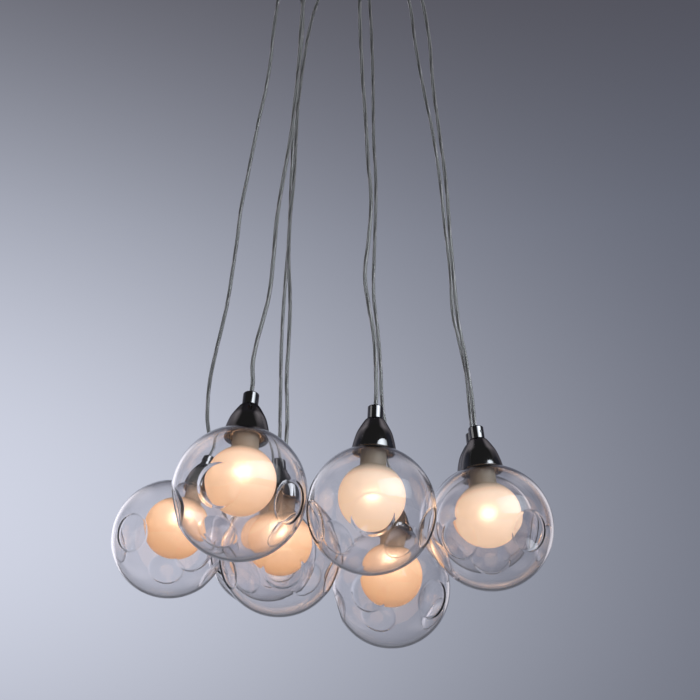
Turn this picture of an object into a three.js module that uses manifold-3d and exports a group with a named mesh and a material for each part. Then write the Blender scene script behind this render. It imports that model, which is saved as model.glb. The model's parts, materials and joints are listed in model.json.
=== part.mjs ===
// Cluster pendant: eight glass drops on clear cords under one round ceiling canopy.
// Millimetres, +Z up. The origin is on the ceiling, over the middle of the canopy.
// Each drop is drawn in its own frame, with the outer ball's centre at zero and +Z up its cord.

import * as THREE from 'three';
import { ConvexHull } from 'three/addons/math/ConvexHull.js';
import { mergeVertices } from 'three/addons/utils/BufferGeometryUtils.js';
import Module from 'manifold-3d';

// Clearances shared by the pieces
const seatGap = 0.3; // between two pieces that touch
const swingGap = 0.45; // under a collar, so that a swinging cord clears it
const overrun = 1; // how far a cutting shape reaches past the wall that it cuts

// Outer ball: clear glass with round hollows pressed into it
const globeRadius = 60;
const globeWall = 2.2;
const globeGap = 0.6; // least air between two balls
const neckRadius = 16.8; // outside of the screwed neck
const neckWall = 2;
const neckRise = 5;
const hollowCount = 5;
const hollowRadius = 19;
const hollowDepth = 8.5;
const hollowLatitude = -19; // degrees, under the ball's equator
const hollowRingShares = [0, 0.5, 1]; // rings of a hollow, as shares of the way to its rim
const hollowRingCounts = [1, 5, 8]; // points on each of those rings
const shoulderShares = [0.72, 0.38]; // rings between the hollows and the neck, as shares of that way

// Inner ball: frosted glass, hung in the outer neck by its flange
const innerRadius = 31.5;
const innerWall = 2;
const innerRaise = 12; // its centre over the outer ball's centre
const innerNeckRadius = 12.5;
const flangeReach = 1.6; // how far the flange reaches over the outer neck's rim
const flangeThickness = 1.8;

// Cup: the black chrome bell over the neck of the glass
const cupHeight = 32.9;
const cupRimRadius = 20;
const cupTopRadius = 8.5;
const cupWall = 1.4;
const threadLength = 5.7; // straight land that the glass neck screws into
const cupHoleRadius = 5;

// Cord grip: ferrule with a grub screw, screwed through the cup's top
const gripRadius = 6.8;
const gripHeight = 12.5;
const gripChamfer = 0.8;
const grubRadius = 1.4;
const grubStand = 0.5;

// Ceramic lampholder and its capsule lamp
const holderDrop = 4.5; // its head under the cup's ceiling
const holderHeadRadius = 9.2;
const holderSkirtRadius = 10.3;
const holderSkirtHeight = 11;
const holderHeight = 27;
const lampRadius = 7;
const lampBaseRadius = 7.4;
const lampBaseHeight = 8.5;
const lampLength = 52;
const holderBoreDepth = 9;

// Cord
const cordRadius = 1.9;
const cordStraight = 12; // straight stretch at each end

// Ceiling fitting
const canopyRadius = 105;
const canopyDepth = 25;
const canopyWall = 1.2;
const canopyCorner = 6;
const exitRingRadius = 76;
const collarRadius = 5;
const collarHeight = 10;
const collarChamfer = 1;
const bracketLength = 120;
const bracketWidth = 20;
const bracketThickness = 2;
const slotLength = 14;
const slotWidth = 5;
const slotInset = 9; // from the bracket's end to the slot's nearer end
const cableHoleRadius = 5;
const cableHoleOffset = 18;
const studRadius = 3;
const nutRadius = 8;
const nutHeight = 11;
const nutWall = 2.5; // under the stud's end
const nutChamfer = 2.75;
const blockLength = 32;
const blockWidth = 17;
const blockHeight = 12;
const blockPlaceShare = 17 / 30; // its middle, as a share of the way from the stud to the bracket's end
const terminalCount = 3;
const terminalRadius = 2;
const terminalDepth = 6;

// Cluster: the middle of the group hangs this far under the ceiling
const clusterDrop = 820;
const firstExitAngle = 20; // degrees, of the first cord exit on its ring
const globeSpacing = 2 * globeRadius + globeGap;

// One row a drop. The centre of the outer ball is a share of the ball spacing from the cluster's middle, and
// the lean is the share of the drop's length by which it leans in x and y. The hollows are turned by degrees.
const dropShares = [
  { centre: [-1.458, 0.411, 0.089], lean: [0.281, 0.086], turn: 24, exit: 4 },
  { centre: [-0.740, -1.008, 0.070], lean: [0.054, 0.157], turn: 43, exit: 5 },
  { centre: [-0.510, 0.158, -0.112], lean: [0.037, -0.114], turn: 62, exit: 2 },
  { centre: [0.229, -0.602, 0.059], lean: [0.049, -0.008], turn: 55, exit: 6 },
  { centre: [0.412, 0.497, -0.307], lean: [0.057, 0.049], turn: 30, exit: 1 },
  { centre: [1.173, -0.270, 0.010], lean: [-0.091, 0.004], turn: 13, exit: 7 },
  { centre: [-0.714, 1.104, 0.148], lean: [0.122, -0.050], turn: 10, exit: 3 },
  { centre: [1.245, 0.795, 0.336], lean: [-0.059, 0.016], turn: 50, exit: 0 },
];

// The way of each cord from its collar down to its grip, without its two straight ends
const cordRoutes = [
  [[-72, -24, -78], [-75, -18, -118], [-80, -10, -161], [-84, -6, -199], [-87, 0, -240], [-92, 5, -280],
    [-99, 9, -320], [-105, 14, -358], [-111, 19, -396], [-117, 24, -434], [-120, 28, -471], [-124, 33, -507],
    [-128, 37, -542], [-134, 41, -576], [-140, 44, -607], [-145, 49, -639], [-146, 54, -675]],
  [[-33, -70, -88], [-37, -72, -135], [-41, -75, -180], [-45, -79, -222], [-47, -82, -265], [-48, -84, -307],
    [-51, -87, -363], [-55, -90, -417], [-61, -92, -467], [-66, -95, -516], [-68, -98, -562], [-71, -100, -606],
    [-76, -101, -633], [-81, -102, -657], [-84, -103, -680]],
  [[-29, 70, -68], [-35, 68, -92], [-41, 65, -120], [-46, 61, -155], [-50, 57, -192], [-53, 54, -228],
    [-56, 50, -270], [-57, 45, -323], [-58, 39, -383], [-61, 34, -441], [-61, 29, -496], [-58, 24, -549],
    [-58, 19, -599], [-59, 15, -645], [-57, 11, -695]],
  [[25, -71, -90], [22, -71, -135], [20, -72, -178], [19, -72, -220], [20, -72, -270], [22, -72, -325],
    [25, -73, -379], [27, -73, -431], [30, -73, -481], [27, -73, -529], [23, -73, -570], [27, -73, -606],
    [32, -73, -642], [33, -73, -675]],
  [[33, 69, -80], [35, 68, -120], [36, 68, -160], [37, 68, -205], [37, 67, -255], [37, 67, -307],
    [39, 67, -365], [38, 67, -421], [36, 66, -475], [35, 66, -520], [39, 66, -565], [42, 66, -610],
    [43, 65, -651], [47, 65, -686], [52, 65, -718]],
  [[71, -32, -75], [79, -32, -110], [88, -32, -146], [95, -32, -184], [101, -32, -240], [103, -32, -300],
    [108, -32, -365], [113, -32, -430], [115, -32, -490], [117, -32, -548], [120, -32, -602],
    [126, -32, -645], [130, -32, -684]],
  [[-66, 34, -67], [-59, 38, -90], [-53, 43, -116], [-52, 48, -150], [-55, 55, -195], [-59, 63, -251],
    [-62, 71, -305], [-64, 81, -370], [-66, 91, -441], [-70, 101, -510], [-72, 109, -565], [-72, 117, -622],
    [-72, 124, -671]],
  [[73, 27, -74], [78, 30, -98], [84, 36, -124], [90, 42, -182], [99, 49, -246], [108, 55, -300],
    [116, 63, -368], [120, 69, -425], [125, 76, -484], [127, 82, -541], [134, 87, -576], [140, 91, -613],
    [142, 94, -645]],
];

// How finely the round forms are faceted
const cordSides = 8;
const cordSteps = 28;
const neckSides = 12;
const innerSides = 10;
const gripSides = 10;
const smallSides = 8;
const canopySides = 28;

const wasm = await Module();
wasm.setup();

const radians = THREE.MathUtils.degToRad;
const turnTo = (angle, radius, z = 0) => new THREE.Vector3(radius * Math.cos(angle), radius * Math.sin(angle), z);

// A bore is drawn with its flats on the true circle, so that a round piece turns freely in it.
const boreRadius = (radius, sides) => radius / Math.cos(Math.PI / sides);

// Height of a ball's surface over its centre, at a distance from its axis
const ballHeight = (radius, distance) => Math.sqrt(radius * radius - distance * distance);

// Heights up the drop's axis that several pieces share
const neckTop = ballHeight(globeRadius, neckRadius) + neckRise;
const cupRimHeight = ballHeight(globeRadius + seatGap, cupRimRadius);
const cupTop = cupRimHeight + cupHeight;
const gripTop = cupTop + seatGap + gripHeight;
const holderTop = cupTop - cupWall - holderDrop;
const holderFoot = holderTop - holderHeight;
const lampTop = holderFoot + holderBoreDepth - seatGap;
const collarFoot = -canopyDepth - collarHeight;
const nutTop = -canopyDepth - seatGap;
const nutBoreEnd = nutTop - nutHeight + nutWall;

// Joining and cutting

function toSolid(geometry) {
  const bare = geometry.clone();
  bare.deleteAttribute('normal');
  bare.deleteAttribute('uv');
  const merged = mergeVertices(bare);
  const corners = [];
  const index = merged.index.array;
  for (let i = 0; i < index.length; i += 3) {
    const [a, b, c] = [index[i], index[i + 1], index[i + 2]];
    if (a !== b && b !== c && c !== a) corners.push(a, b, c);
  }
  return new wasm.Manifold(new wasm.Mesh({
    numProp: 3,
    vertProperties: new Float32Array(merged.attributes.position.array),
    triVerts: new Uint32Array(corners),
  }));
}

function toGeometry(solid) {
  const mesh = solid.getMesh();
  const geometry = new THREE.BufferGeometry();
  geometry.setAttribute('position', new THREE.BufferAttribute(mesh.vertProperties, 3));
  geometry.setIndex(new THREE.BufferAttribute(mesh.triVerts, 1));
  geometry.computeVertexNormals();
  return geometry;
}

// A profile of [radius, height] points, drawn anticlockwise, turned about +Z
function revolve(profile, sides) {
  const points = profile.map(([radius, height]) => new THREE.Vector2(radius, height));
  return new THREE.LatheGeometry(points, sides).rotateX(Math.PI / 2);
}

// Points of a round arc in a profile, both ends included; angles are measured from the radius axis.
function arc(centreRadius, centreHeight, radius, fromAngle, toAngle, steps) {
  return Array.from({ length: steps + 1 }, (_, i) => {
    const angle = fromAngle + (toAngle - fromAngle) * i / steps;
    return [centreRadius + radius * Math.cos(angle), centreHeight + radius * Math.sin(angle)];
  });
}

// Outer ball

// Directions over the ball: the rings of each hollow lie close, and the plain glass has wide facets.
// sink says how much of the hollow's depth a point is pressed in by.
function globeDirections() {
  const rimAngle = Math.asin(hollowRadius / globeRadius);
  const directions = [];
  const add = (vector, sink = 0) => directions.push({ vector, sink });
  const ring = (latitude, count, shift) => {
    for (let i = 0; i < count; i += 1) {
      const angle = 2 * Math.PI * (i + shift) / count;
      add(turnTo(angle, Math.cos(latitude), Math.sin(latitude)));
    }
  };
  const neckLatitude = Math.acos(neckRadius / globeRadius);
  const lowerLatitude = radians(hollowLatitude) - rimAngle;
  const upperLatitude = radians(hollowLatitude) + rimAngle;
  ring(neckLatitude, neckSides, 0);
  shoulderShares.forEach((share, i) => {
    ring(upperLatitude + share * (neckLatitude - upperLatitude), 2 * hollowCount, i / 2);
  });
  ring(upperLatitude, hollowCount, 0.5);
  ring(radians(hollowLatitude), hollowCount, 0.5);
  ring(lowerLatitude, hollowCount, 0.5);
  ring((lowerLatitude - Math.PI / 2) / 2, hollowCount, 0);
  add(new THREE.Vector3(0, 0, -1));
  for (let i = 0; i < hollowCount; i += 1) {
    const place = new THREE.Matrix4().makeRotationZ(2 * Math.PI * i / hollowCount);
    place.multiply(new THREE.Matrix4().makeRotationY(Math.PI / 2 - radians(hollowLatitude)));
    const round = (share, count) => {
      for (let k = 0; k < count; k += 1) {
        const tilt = share * rimAngle;
        const vector = turnTo(2 * Math.PI * k / count, Math.sin(tilt), Math.cos(tilt));
        add(vector.applyMatrix4(place), 1 - share * share);
      }
    };
    hollowRingShares.forEach((share, k) => round(share, hollowRingCounts[k]));
  }
  return directions;
}

// The two skins share one net of facets and meet in the screwed neck. The net is the hull of the directions,
// without the lid over the neck.
function outerGlobe() {
  const directions = globeDirections();
  const vectors = directions.map(({ vector }) => vector);
  const hull = new ConvexHull().setFromPoints(vectors);
  const neckInside = neckRadius - neckWall;
  const skinRadius = globeRadius - globeWall;
  const outside = directions.map(({ vector, sink }) => (
    vector.clone().multiplyScalar(globeRadius - hollowDepth * sink)));
  const inside = directions.map(({ vector, sink }, i) => (i < neckSides
    ? turnTo(2 * Math.PI * i / neckSides, neckInside, ballHeight(skinRadius, neckInside))
    : vector.clone().multiplyScalar(skinRadius - hollowDepth * sink)));
  const rim = [neckRadius, neckInside].map((radius) => (
    Array.from({ length: neckSides }, (_, i) => turnTo(2 * Math.PI * i / neckSides, radius, neckTop))));
  const corners = [];
  const triangle = (...points) => points.forEach((point) => corners.push(point.x, point.y, point.z));
  for (const face of hull.faces) {
    const [a, b, c] = [0, 1, 2].map((k) => vectors.indexOf(face.getEdge(k).head().point));
    if (Math.max(a, b, c) < neckSides) continue;
    triangle(outside[a], outside[b], outside[c]);
    triangle(inside[a], inside[c], inside[b]);
  }
  const loops = [outside, rim[0], rim[1], inside];
  for (let i = 0; i < neckSides; i += 1) {
    const next = (i + 1) % neckSides;
    for (let k = 0; k < loops.length - 1; k += 1) {
      triangle(loops[k][i], loops[k][next], loops[k + 1][next]);
      triangle(loops[k][i], loops[k + 1][next], loops[k + 1][i]);
    }
  }
  const geometry = new THREE.BufferGeometry();
  geometry.setAttribute('position', new THREE.Float32BufferAttribute(corners, 3));
  const merged = mergeVertices(geometry);
  merged.computeVertexNormals();
  return merged;
}

// Inner ball: its neck stands in the outer neck, and its flange rests on the outer neck's rim.
function innerGlobe() {
  const holeRadius = boreRadius(holderSkirtRadius + seatGap, innerSides);
  const flangeRadius = neckRadius - neckWall + flangeReach;
  const flangeFoot = neckTop + seatGap;
  const outerEnd = Math.acos(innerNeckRadius / innerRadius);
  const insideRadius = innerRadius - innerWall;
  const insideEnd = Math.acos(holeRadius / insideRadius);
  const outerArc = arc(0, innerRaise, innerRadius, -Math.PI / 2, outerEnd, 6);
  const insideArc = arc(0, innerRaise, insideRadius, insideEnd, -Math.PI / 2, 4);
  return revolve([
    ...outerArc,
    [innerNeckRadius, flangeFoot],
    [flangeRadius, flangeFoot],
    [flangeRadius, flangeFoot + flangeThickness],
    [holeRadius, flangeFoot + flangeThickness],
    ...insideArc,
  ], innerSides);
}

// Cup

// Along the bell from its top to its rim: the share of its depth, and the share of the way from the top
// radius to the rim radius.
const bellShares = [[0, 0], [0.065, 0.16], [0.21, 0.37], [0.45, 0.64], [0.82, 0.95], [1, 1]];

function cup() {
  const landRadius = boreRadius(neckRadius + seatGap, neckSides);
  const landFoot = ballHeight(globeRadius + seatGap, landRadius);
  const landTop = landFoot + threadLength;
  const holeRadius = boreRadius(cupHoleRadius, neckSides);
  const bell = bellShares.map(([depth, spread]) => (
    [cupTopRadius + spread * (cupRimRadius - cupTopRadius), cupTop - depth * cupHeight]));
  const lining = bell.slice(2, -2).map(([radius, height]) => [radius - cupWall, height]);
  return revolve([
    [holeRadius, cupTop - cupWall],
    ...lining,
    [landRadius, landTop],
    [landRadius, landFoot],
    ...bell.reverse(),
    [holeRadius, cupTop],
    [holeRadius, cupTop - cupWall],
  ], neckSides);
}

// Cord grip, with its spigot down through the cup's top and a grub screw in its side
function cordGrip() {
  const foot = cupTop + seatGap;
  const spigotRadius = cupHoleRadius - seatGap;
  const body = toSolid(revolve([
    [0, holderTop + seatGap],
    [spigotRadius, holderTop + seatGap],
    [spigotRadius, foot],
    [gripRadius, foot],
    [gripRadius, gripTop - gripChamfer],
    [gripRadius - gripChamfer, gripTop],
    [0, gripTop],
  ], gripSides));
  const screw = new THREE.CylinderGeometry(grubRadius, grubRadius, gripRadius + grubStand, smallSides);
  screw.rotateX(Math.PI / 2).translate(0, -(gripRadius + grubStand) / 2, foot + gripHeight / 2);
  return toGeometry(body.add(toSolid(screw)));
}

// Ceramic lampholder: a head in the cup and a skirt in the neck of the inner ball, bored for the lamp
function lampholder() {
  const bore = boreRadius(lampBaseRadius + seatGap, smallSides);
  const skirtTop = holderFoot + holderSkirtHeight;
  return revolve([
    [0, holderFoot + holderBoreDepth],
    [bore, holderFoot + holderBoreDepth],
    [bore, holderFoot],
    [holderSkirtRadius, holderFoot],
    [holderSkirtRadius, skirtTop],
    [holderHeadRadius, skirtTop],
    [holderHeadRadius, holderTop],
    [0, holderTop],
  ], smallSides);
}

// Capsule lamp with a round end, plugged up into the holder
function lamp() {
  const foot = lampTop - lampLength;
  return revolve([
    ...arc(0, foot + lampRadius, lampRadius, -Math.PI / 2, 0, 2),
    [lampRadius, lampTop - lampBaseHeight],
    [lampBaseRadius, lampTop - lampBaseHeight],
    [lampBaseRadius, lampTop],
    [0, lampTop],
  ], smallSides);
}

// Ceiling fitting

// Canopy: a round dish, open to the ceiling, with a collar under it for each cord
function canopy() {
  const holeRadius = boreRadius(studRadius + seatGap, canopySides);
  const cornerRadius = canopyRadius - canopyCorner;
  const cornerHeight = -canopyDepth + canopyCorner;
  const insideCorner = canopyCorner - canopyWall;
  let dish = toSolid(revolve([
    [holeRadius, -canopyDepth],
    ...arc(cornerRadius, cornerHeight, canopyCorner, -Math.PI / 2, 0, 3),
    [canopyRadius, 0],
    [canopyRadius - canopyWall, 0],
    ...arc(cornerRadius, cornerHeight, insideCorner, 0, -Math.PI / 2, 2),
    [holeRadius, -canopyDepth + canopyWall],
    [holeRadius, -canopyDepth],
  ], canopySides));
  const collar = revolve([
    [0, collarFoot],
    [collarRadius - collarChamfer, collarFoot],
    [collarRadius, collarFoot + collarChamfer],
    [collarRadius, -canopyDepth + canopyWall / 2],
    [0, -canopyDepth + canopyWall / 2],
  ], smallSides);
  for (let slot = 0; slot < dropShares.length; slot += 1) {
    const { x, y } = exitPlace(slot);
    dish = dish.add(toSolid(collar.clone().translate(x, y, 0)));
  }
  return toGeometry(dish);
}

// Strip against the ceiling, with two screw slots, a cable hole and the stud that carries the canopy
function ceilingBracket() {
  const stadium = (length, width, middle) => {
    const end = (length - width) / 2;
    const outline = new THREE.Path();
    outline.absarc(middle + end, 0, width / 2, -Math.PI / 2, Math.PI / 2);
    outline.absarc(middle - end, 0, width / 2, Math.PI / 2, 3 * Math.PI / 2);
    return outline;
  };
  const strip = new THREE.Shape(stadium(bracketLength, bracketWidth, 0).getPoints(smallSides / 2));
  const slotMiddle = (bracketLength - slotLength) / 2 - slotInset;
  for (const side of [-1, 1]) strip.holes.push(stadium(slotLength, slotWidth, side * slotMiddle));
  const cableHole = new THREE.Path();
  strip.holes.push(cableHole.absarc(-cableHoleOffset, 0, cableHoleRadius, 0, 2 * Math.PI));
  const plate = new THREE.ExtrudeGeometry(strip, {
    depth: bracketThickness, bevelEnabled: false, curveSegments: smallSides / 2,
  });
  plate.translate(0, 0, -bracketThickness);
  const studFoot = nutBoreEnd + seatGap;
  const stud = new THREE.CylinderGeometry(studRadius, studRadius, -bracketThickness / 2 - studFoot, smallSides);
  stud.rotateX(Math.PI / 2).translate(0, 0, (studFoot - bracketThickness / 2) / 2);
  return toGeometry(toSolid(plate).add(toSolid(stud)));
}

// Round nut on the stud, holding the canopy up from below
function centreNut() {
  const foot = nutTop - nutHeight;
  const bore = boreRadius(studRadius + seatGap, smallSides);
  return revolve([
    [0, foot],
    [nutRadius - nutChamfer, foot],
    [nutRadius, foot + nutChamfer],
    [nutRadius, nutTop],
    [bore, nutTop],
    [bore, nutBoreEnd],
    [0, nutBoreEnd],
  ], neckSides);
}

// Terminal block under the bracket, with a screw well for each wire
function terminalBlock() {
  const top = -bracketThickness - seatGap;
  const middle = blockPlaceShare * bracketLength / 2;
  const box = new THREE.BoxGeometry(blockLength, blockWidth, blockHeight);
  let block = toSolid(box.translate(middle, 0, top - blockHeight / 2));
  for (let i = 0; i < terminalCount; i += 1) {
    const x = middle + blockLength * ((i + 0.5) / terminalCount - 0.5);
    for (const side of [-1, 1]) {
      const well = new THREE.CylinderGeometry(terminalRadius, terminalRadius, terminalDepth + overrun, smallSides);
      const z = top - blockHeight + (terminalDepth - overrun) / 2;
      well.rotateX(Math.PI / 2).translate(x, side * blockWidth / 4, z);
      block = block.subtract(toSolid(well));
    }
  }
  return toGeometry(block);
}

// Places

function exitPlace(slot) {
  const angle = radians(firstExitAngle) + 2 * Math.PI * slot / dropShares.length;
  return turnTo(angle, exitRingRadius, collarFoot - swingGap);
}

// The centre of a drop's outer ball, and the direction up the drop
function dropPlace({ centre, lean }) {
  const place = new THREE.Vector3(...centre).multiplyScalar(globeSpacing);
  place.z -= clusterDrop;
  return { place, axis: new THREE.Vector3(...lean, Math.sqrt(1 - lean[0] ** 2 - lean[1] ** 2)) };
}

// Cord from its collar to its grip, square to both
function cord(drop, route) {
  const { place, axis } = dropPlace(drop);
  const foot = place.clone().addScaledVector(axis, gripTop + seatGap);
  const exit = exitPlace(drop.exit);
  const down = new THREE.Vector3(0, 0, -1);
  const straightShares = [0, 0.5, 1];
  const points = [
    ...straightShares.map((share) => exit.clone().addScaledVector(down, share * cordStraight)),
    ...route.map((point) => new THREE.Vector3(...point)),
    ...straightShares.toReversed().map((share) => foot.clone().addScaledVector(axis, share * cordStraight)),
  ];
  const section = new THREE.Shape(Array.from({ length: cordSides }, (_, i) => {
    const angle = 2 * Math.PI * i / cordSides;
    return new THREE.Vector2(cordRadius * Math.cos(angle), cordRadius * Math.sin(angle));
  }));
  const extrudePath = new THREE.CatmullRomCurve3(points);
  return new THREE.ExtrudeGeometry(section, { steps: cordSteps, extrudePath });
}

// Finishes
const finishes = {
  blackChrome: { color: 0x1b1a1c, roughness: 0.12, metalness: 1 },
  clearSheath: { color: 0xb4b1b0, roughness: 0.25, metalness: 0, transparent: true, opacity: 0.6 },
  ceramic: { color: 0xe9e5da, roughness: 0.5, metalness: 0 },
  lampGlass: { color: 0xffe2bd, roughness: 0.3, metalness: 0, emissive: 0xffb877 },
  frostedGlass: { color: 0xf3c9a4, roughness: 0.7, metalness: 0, transparent: true, opacity: 0.85 },
  clearGlass: { color: 0xe6e2e4, roughness: 0.03, metalness: 0, transparent: true, opacity: 0.25 },
  steel: { color: 0xa7a9ac, roughness: 0.4, metalness: 1 },
  blockPlastic: { color: 0xe4e1d8, roughness: 0.6, metalness: 0 },
};

function piece(name, geometry, finish) {
  const mesh = new THREE.Mesh(geometry, new THREE.MeshStandardMaterial(finishes[finish]));
  mesh.name = name;
  return mesh;
}

// Assembly
const pendant = new THREE.Group();
pendant.add(
  piece('canopy', canopy(), 'blackChrome'),
  piece('ceiling_bracket', ceilingBracket(), 'steel'),
  piece('centre_nut', centreNut(), 'blackChrome'),
  piece('terminal_block', terminalBlock(), 'blockPlastic'),
);

const dropPieces = [
  ['cord_grip', cordGrip(), 'blackChrome'],
  ['cup', cup(), 'blackChrome'],
  ['lampholder', lampholder(), 'ceramic'],
  ['lamp', lamp(), 'lampGlass'],
  ['inner_globe', innerGlobe(), 'frostedGlass'],
  ['outer_globe', outerGlobe(), 'clearGlass'],
];

dropShares.forEach((drop, i) => {
  const { place, axis } = dropPlace(drop);
  const group = new THREE.Group();
  group.position.copy(place);
  group.quaternion.setFromUnitVectors(new THREE.Vector3(0, 0, 1), axis);
  for (const [name, geometry, finish] of dropPieces) {
    const mesh = piece(`${name}_${i + 1}`, geometry, finish);
    if (name === 'outer_globe') mesh.rotation.z = radians(drop.turn);
    group.add(mesh);
  }
  pendant.add(group, piece(`cord_${i + 1}`, cord(drop, cordRoutes[i]), 'clearSheath'));
});

export default pendant;
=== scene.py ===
# %% [markdown]
# # A cluster pendant
# Eight clear glass balls hang on clear cords under one round canopy. Each holds a smaller frosted ball
# with a lamp in it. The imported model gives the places, the joints and most sizes. This script dresses it:
# glass with a real wall, black chrome, wires inside a clear sheath, and warm light. All sizes are in
# metres.

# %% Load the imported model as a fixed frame
import json
import math

import bmesh
import bpy
from mathutils import Matrix, Vector


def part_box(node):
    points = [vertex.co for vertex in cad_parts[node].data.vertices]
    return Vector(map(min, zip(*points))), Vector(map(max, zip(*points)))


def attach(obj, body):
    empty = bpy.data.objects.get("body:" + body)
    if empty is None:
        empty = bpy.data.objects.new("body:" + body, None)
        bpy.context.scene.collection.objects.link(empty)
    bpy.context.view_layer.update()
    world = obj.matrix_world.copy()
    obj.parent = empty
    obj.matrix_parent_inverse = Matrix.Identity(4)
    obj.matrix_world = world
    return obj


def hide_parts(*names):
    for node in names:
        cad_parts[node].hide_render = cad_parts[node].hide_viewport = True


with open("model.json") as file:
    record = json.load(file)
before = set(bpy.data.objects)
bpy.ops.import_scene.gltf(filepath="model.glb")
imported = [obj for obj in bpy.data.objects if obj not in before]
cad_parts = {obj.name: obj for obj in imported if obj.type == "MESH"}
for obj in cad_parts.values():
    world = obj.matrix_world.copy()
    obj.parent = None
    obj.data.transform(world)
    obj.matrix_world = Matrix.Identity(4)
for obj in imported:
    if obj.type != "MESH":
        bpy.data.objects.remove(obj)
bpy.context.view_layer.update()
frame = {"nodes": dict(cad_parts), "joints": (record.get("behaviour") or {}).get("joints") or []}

MM = 0.001
UP = Vector((0, 0, 1))

# %% [markdown]
# ## Camera
# The photograph looks up at the lamp from below and in front. A camera could be moved by eye until the
# picture looks right, but two facts fix it better: the balls are all the same size, so their pictured
# sizes give their distances, and all hang plumb or nearly so.

# %% Make the camera
CAMERA_PLACE = Vector((0.008, -1.045, -1.085))
CAMERA_PITCH = math.radians(24)
CAMERA_LENS = 55.8  # millimetres, on a sensor 36 mm wide

camera_data = bpy.data.cameras.new("camera")
camera_data.lens = CAMERA_LENS
camera = bpy.data.objects.new("camera", camera_data)
camera.location = CAMERA_PLACE
camera.rotation_euler = (math.pi / 2 + CAMERA_PITCH, 0, 0)
bpy.context.scene.collection.objects.link(camera)
bpy.context.scene.camera = camera
print("camera at", tuple(CAMERA_PLACE), "looking up", round(math.degrees(CAMERA_PITCH)), "degrees")

# %% [markdown]
# ## Where each drop hangs
# The places could be typed in once more, but the model's joints already say them. The joint that turns a
# glass ball gives the ball's centre and the axis up its cord, and the joint that swings the drop gives the
# foot of its collar. Every piece of a drop is drawn upright with the clear ball's centre at zero, and then
# hung in place.

# %% Read the drops from the joints
DROP_COUNT = 8


def joint(name):
    """The model's joint of that name."""
    return next(j for j in frame["joints"] if j["name"] == name)


class Drop:
    """One drop: its number, the centre of its clear ball, the axis up its cord, and the cord's top."""

    def __init__(self, number):
        turn = joint(f"glass_turn_{number}")
        self.number = number
        self.centre = Vector(turn["pos_m"])
        self.axis = Vector(turn["axis"]).normalized()
        self.cord_top = Vector(joint(f"swing_{number}")["pos_m"])
        lean = UP.rotation_difference(self.axis).to_matrix().to_4x4()
        self.hang = Matrix.Translation(self.centre) @ lean


drops = [Drop(number) for number in range(1, DROP_COUNT + 1)]
for drop in drops:
    print("drop", drop.number, "hangs", round(-drop.centre.z, 3), "m under the ceiling")


# %% Measure a node of a drop in the drop's own frame
def reach(node):
    """How far a node of the first drop reaches: out from its axis, down and up."""
    unhang = drops[0].hang.inverted()
    corners = [unhang @ vertex.co for vertex in frame["nodes"][f"{node}_1"].data.vertices]
    heights = [corner.z for corner in corners]
    return max(corner.y for corner in corners), min(heights), max(heights)


_, lowest, highest = reach("outer_globe")
print("a clear ball with its neck is", round((highest - lowest) / MM, 1), "mm high")


# %% [markdown]
# ## Small helpers
# A node tree could be drawn by hand in the editor. Built in a script it can be read and changed, and it is
# easier to read when one line makes a node and plugs in its inputs. An input is either a plain value or
# the output of another node.

# %% Helpers for nodes
def plug_in(tree, node, inputs):
    """Gives each input of a node a value or a link."""
    for key, value in inputs.items():
        if isinstance(value, bpy.types.NodeSocket):
            tree.links.new(value, node.inputs[key])
        else:
            node.inputs[key].default_value = value


def add_node(tree, kind, inputs=None, **settings):
    """A new node. Its settings are set first, then each input gets a value or a link."""
    node = tree.nodes.new(kind)
    for name, value in settings.items():
        setattr(node, name, value)
    plug_in(tree, node, inputs or {})
    return node


def maths(tree, operation, *values):
    """The result of one Math node."""
    node = add_node(tree, "ShaderNodeMath", dict(enumerate(values)), operation=operation)
    return node.outputs[0]


def vector_maths(tree, operation, first, second=None, scale=None):
    """The vector result of one Vector Math node."""
    inputs = {0: first}
    if second is not None:
        inputs[1] = second
    if scale is not None:
        inputs["Scale"] = scale
    return add_node(tree, "ShaderNodeVectorMath", inputs, operation=operation).outputs["Vector"]


def between(tree, value, start, end):
    """0 at the start, 1 at the end and evenly rising between them."""
    return add_node(tree, "ShaderNodeMapRange", {
        "Value": value, "From Min": start, "From Max": end}).outputs["Result"]


def ramp(tree, factor, stops):
    """A colour that runs from one to the next; stops are pairs of a place from 0 to 1 and a colour."""
    node = add_node(tree, "ShaderNodeValToRGB", {"Fac": factor})
    for place, _ in stops[1:-1]:
        node.color_ramp.elements.new(place)
    for element, (place, colour) in zip(node.color_ramp.elements, stops):
        element.position = place
        element.color = (*colour, 1)
    return node.outputs["Color"]


print("helpers for nodes are ready")


# %% Helpers for meshes
def add_object(name, data):
    """A new object of the scene, with a mesh, a curve or a lamp as its data."""
    made = bpy.data.objects.new(name, data)
    bpy.context.scene.collection.objects.link(made)
    return made


def close_mesh(name, shape):
    """The mesh of a shape that is being built, which ends the building."""
    mesh = bpy.data.meshes.new(name)
    shape.to_mesh(mesh)
    shape.free()
    return mesh


def lathe(name, profile, steps):
    """A profile of (radius, height) points turned about +Z. It runs anticlockwise, from axis to axis or
    back to its first point, so that faces point out of the material."""
    closed = profile[0] == profile[-1]
    shape = bmesh.new()
    rings = []
    for radius, height in profile[:-1] if closed else profile:
        turns = [0] if radius == 0 else [2 * math.pi * i / steps for i in range(steps)]
        rings.append([
            shape.verts.new((radius * math.cos(a), radius * math.sin(a), height)) for a in turns])
    if closed:
        rings.append(rings[0])
    for low, high in zip(rings, rings[1:]):
        for i in range(steps):
            j = (i + 1) % steps
            corners = [low[i % len(low)], low[j % len(low)], high[j % len(high)], high[i % len(high)]]
            shape.faces.new(dict.fromkeys(corners))
    mesh = close_mesh(name, shape)
    mesh.shade_smooth()
    return mesh


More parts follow.
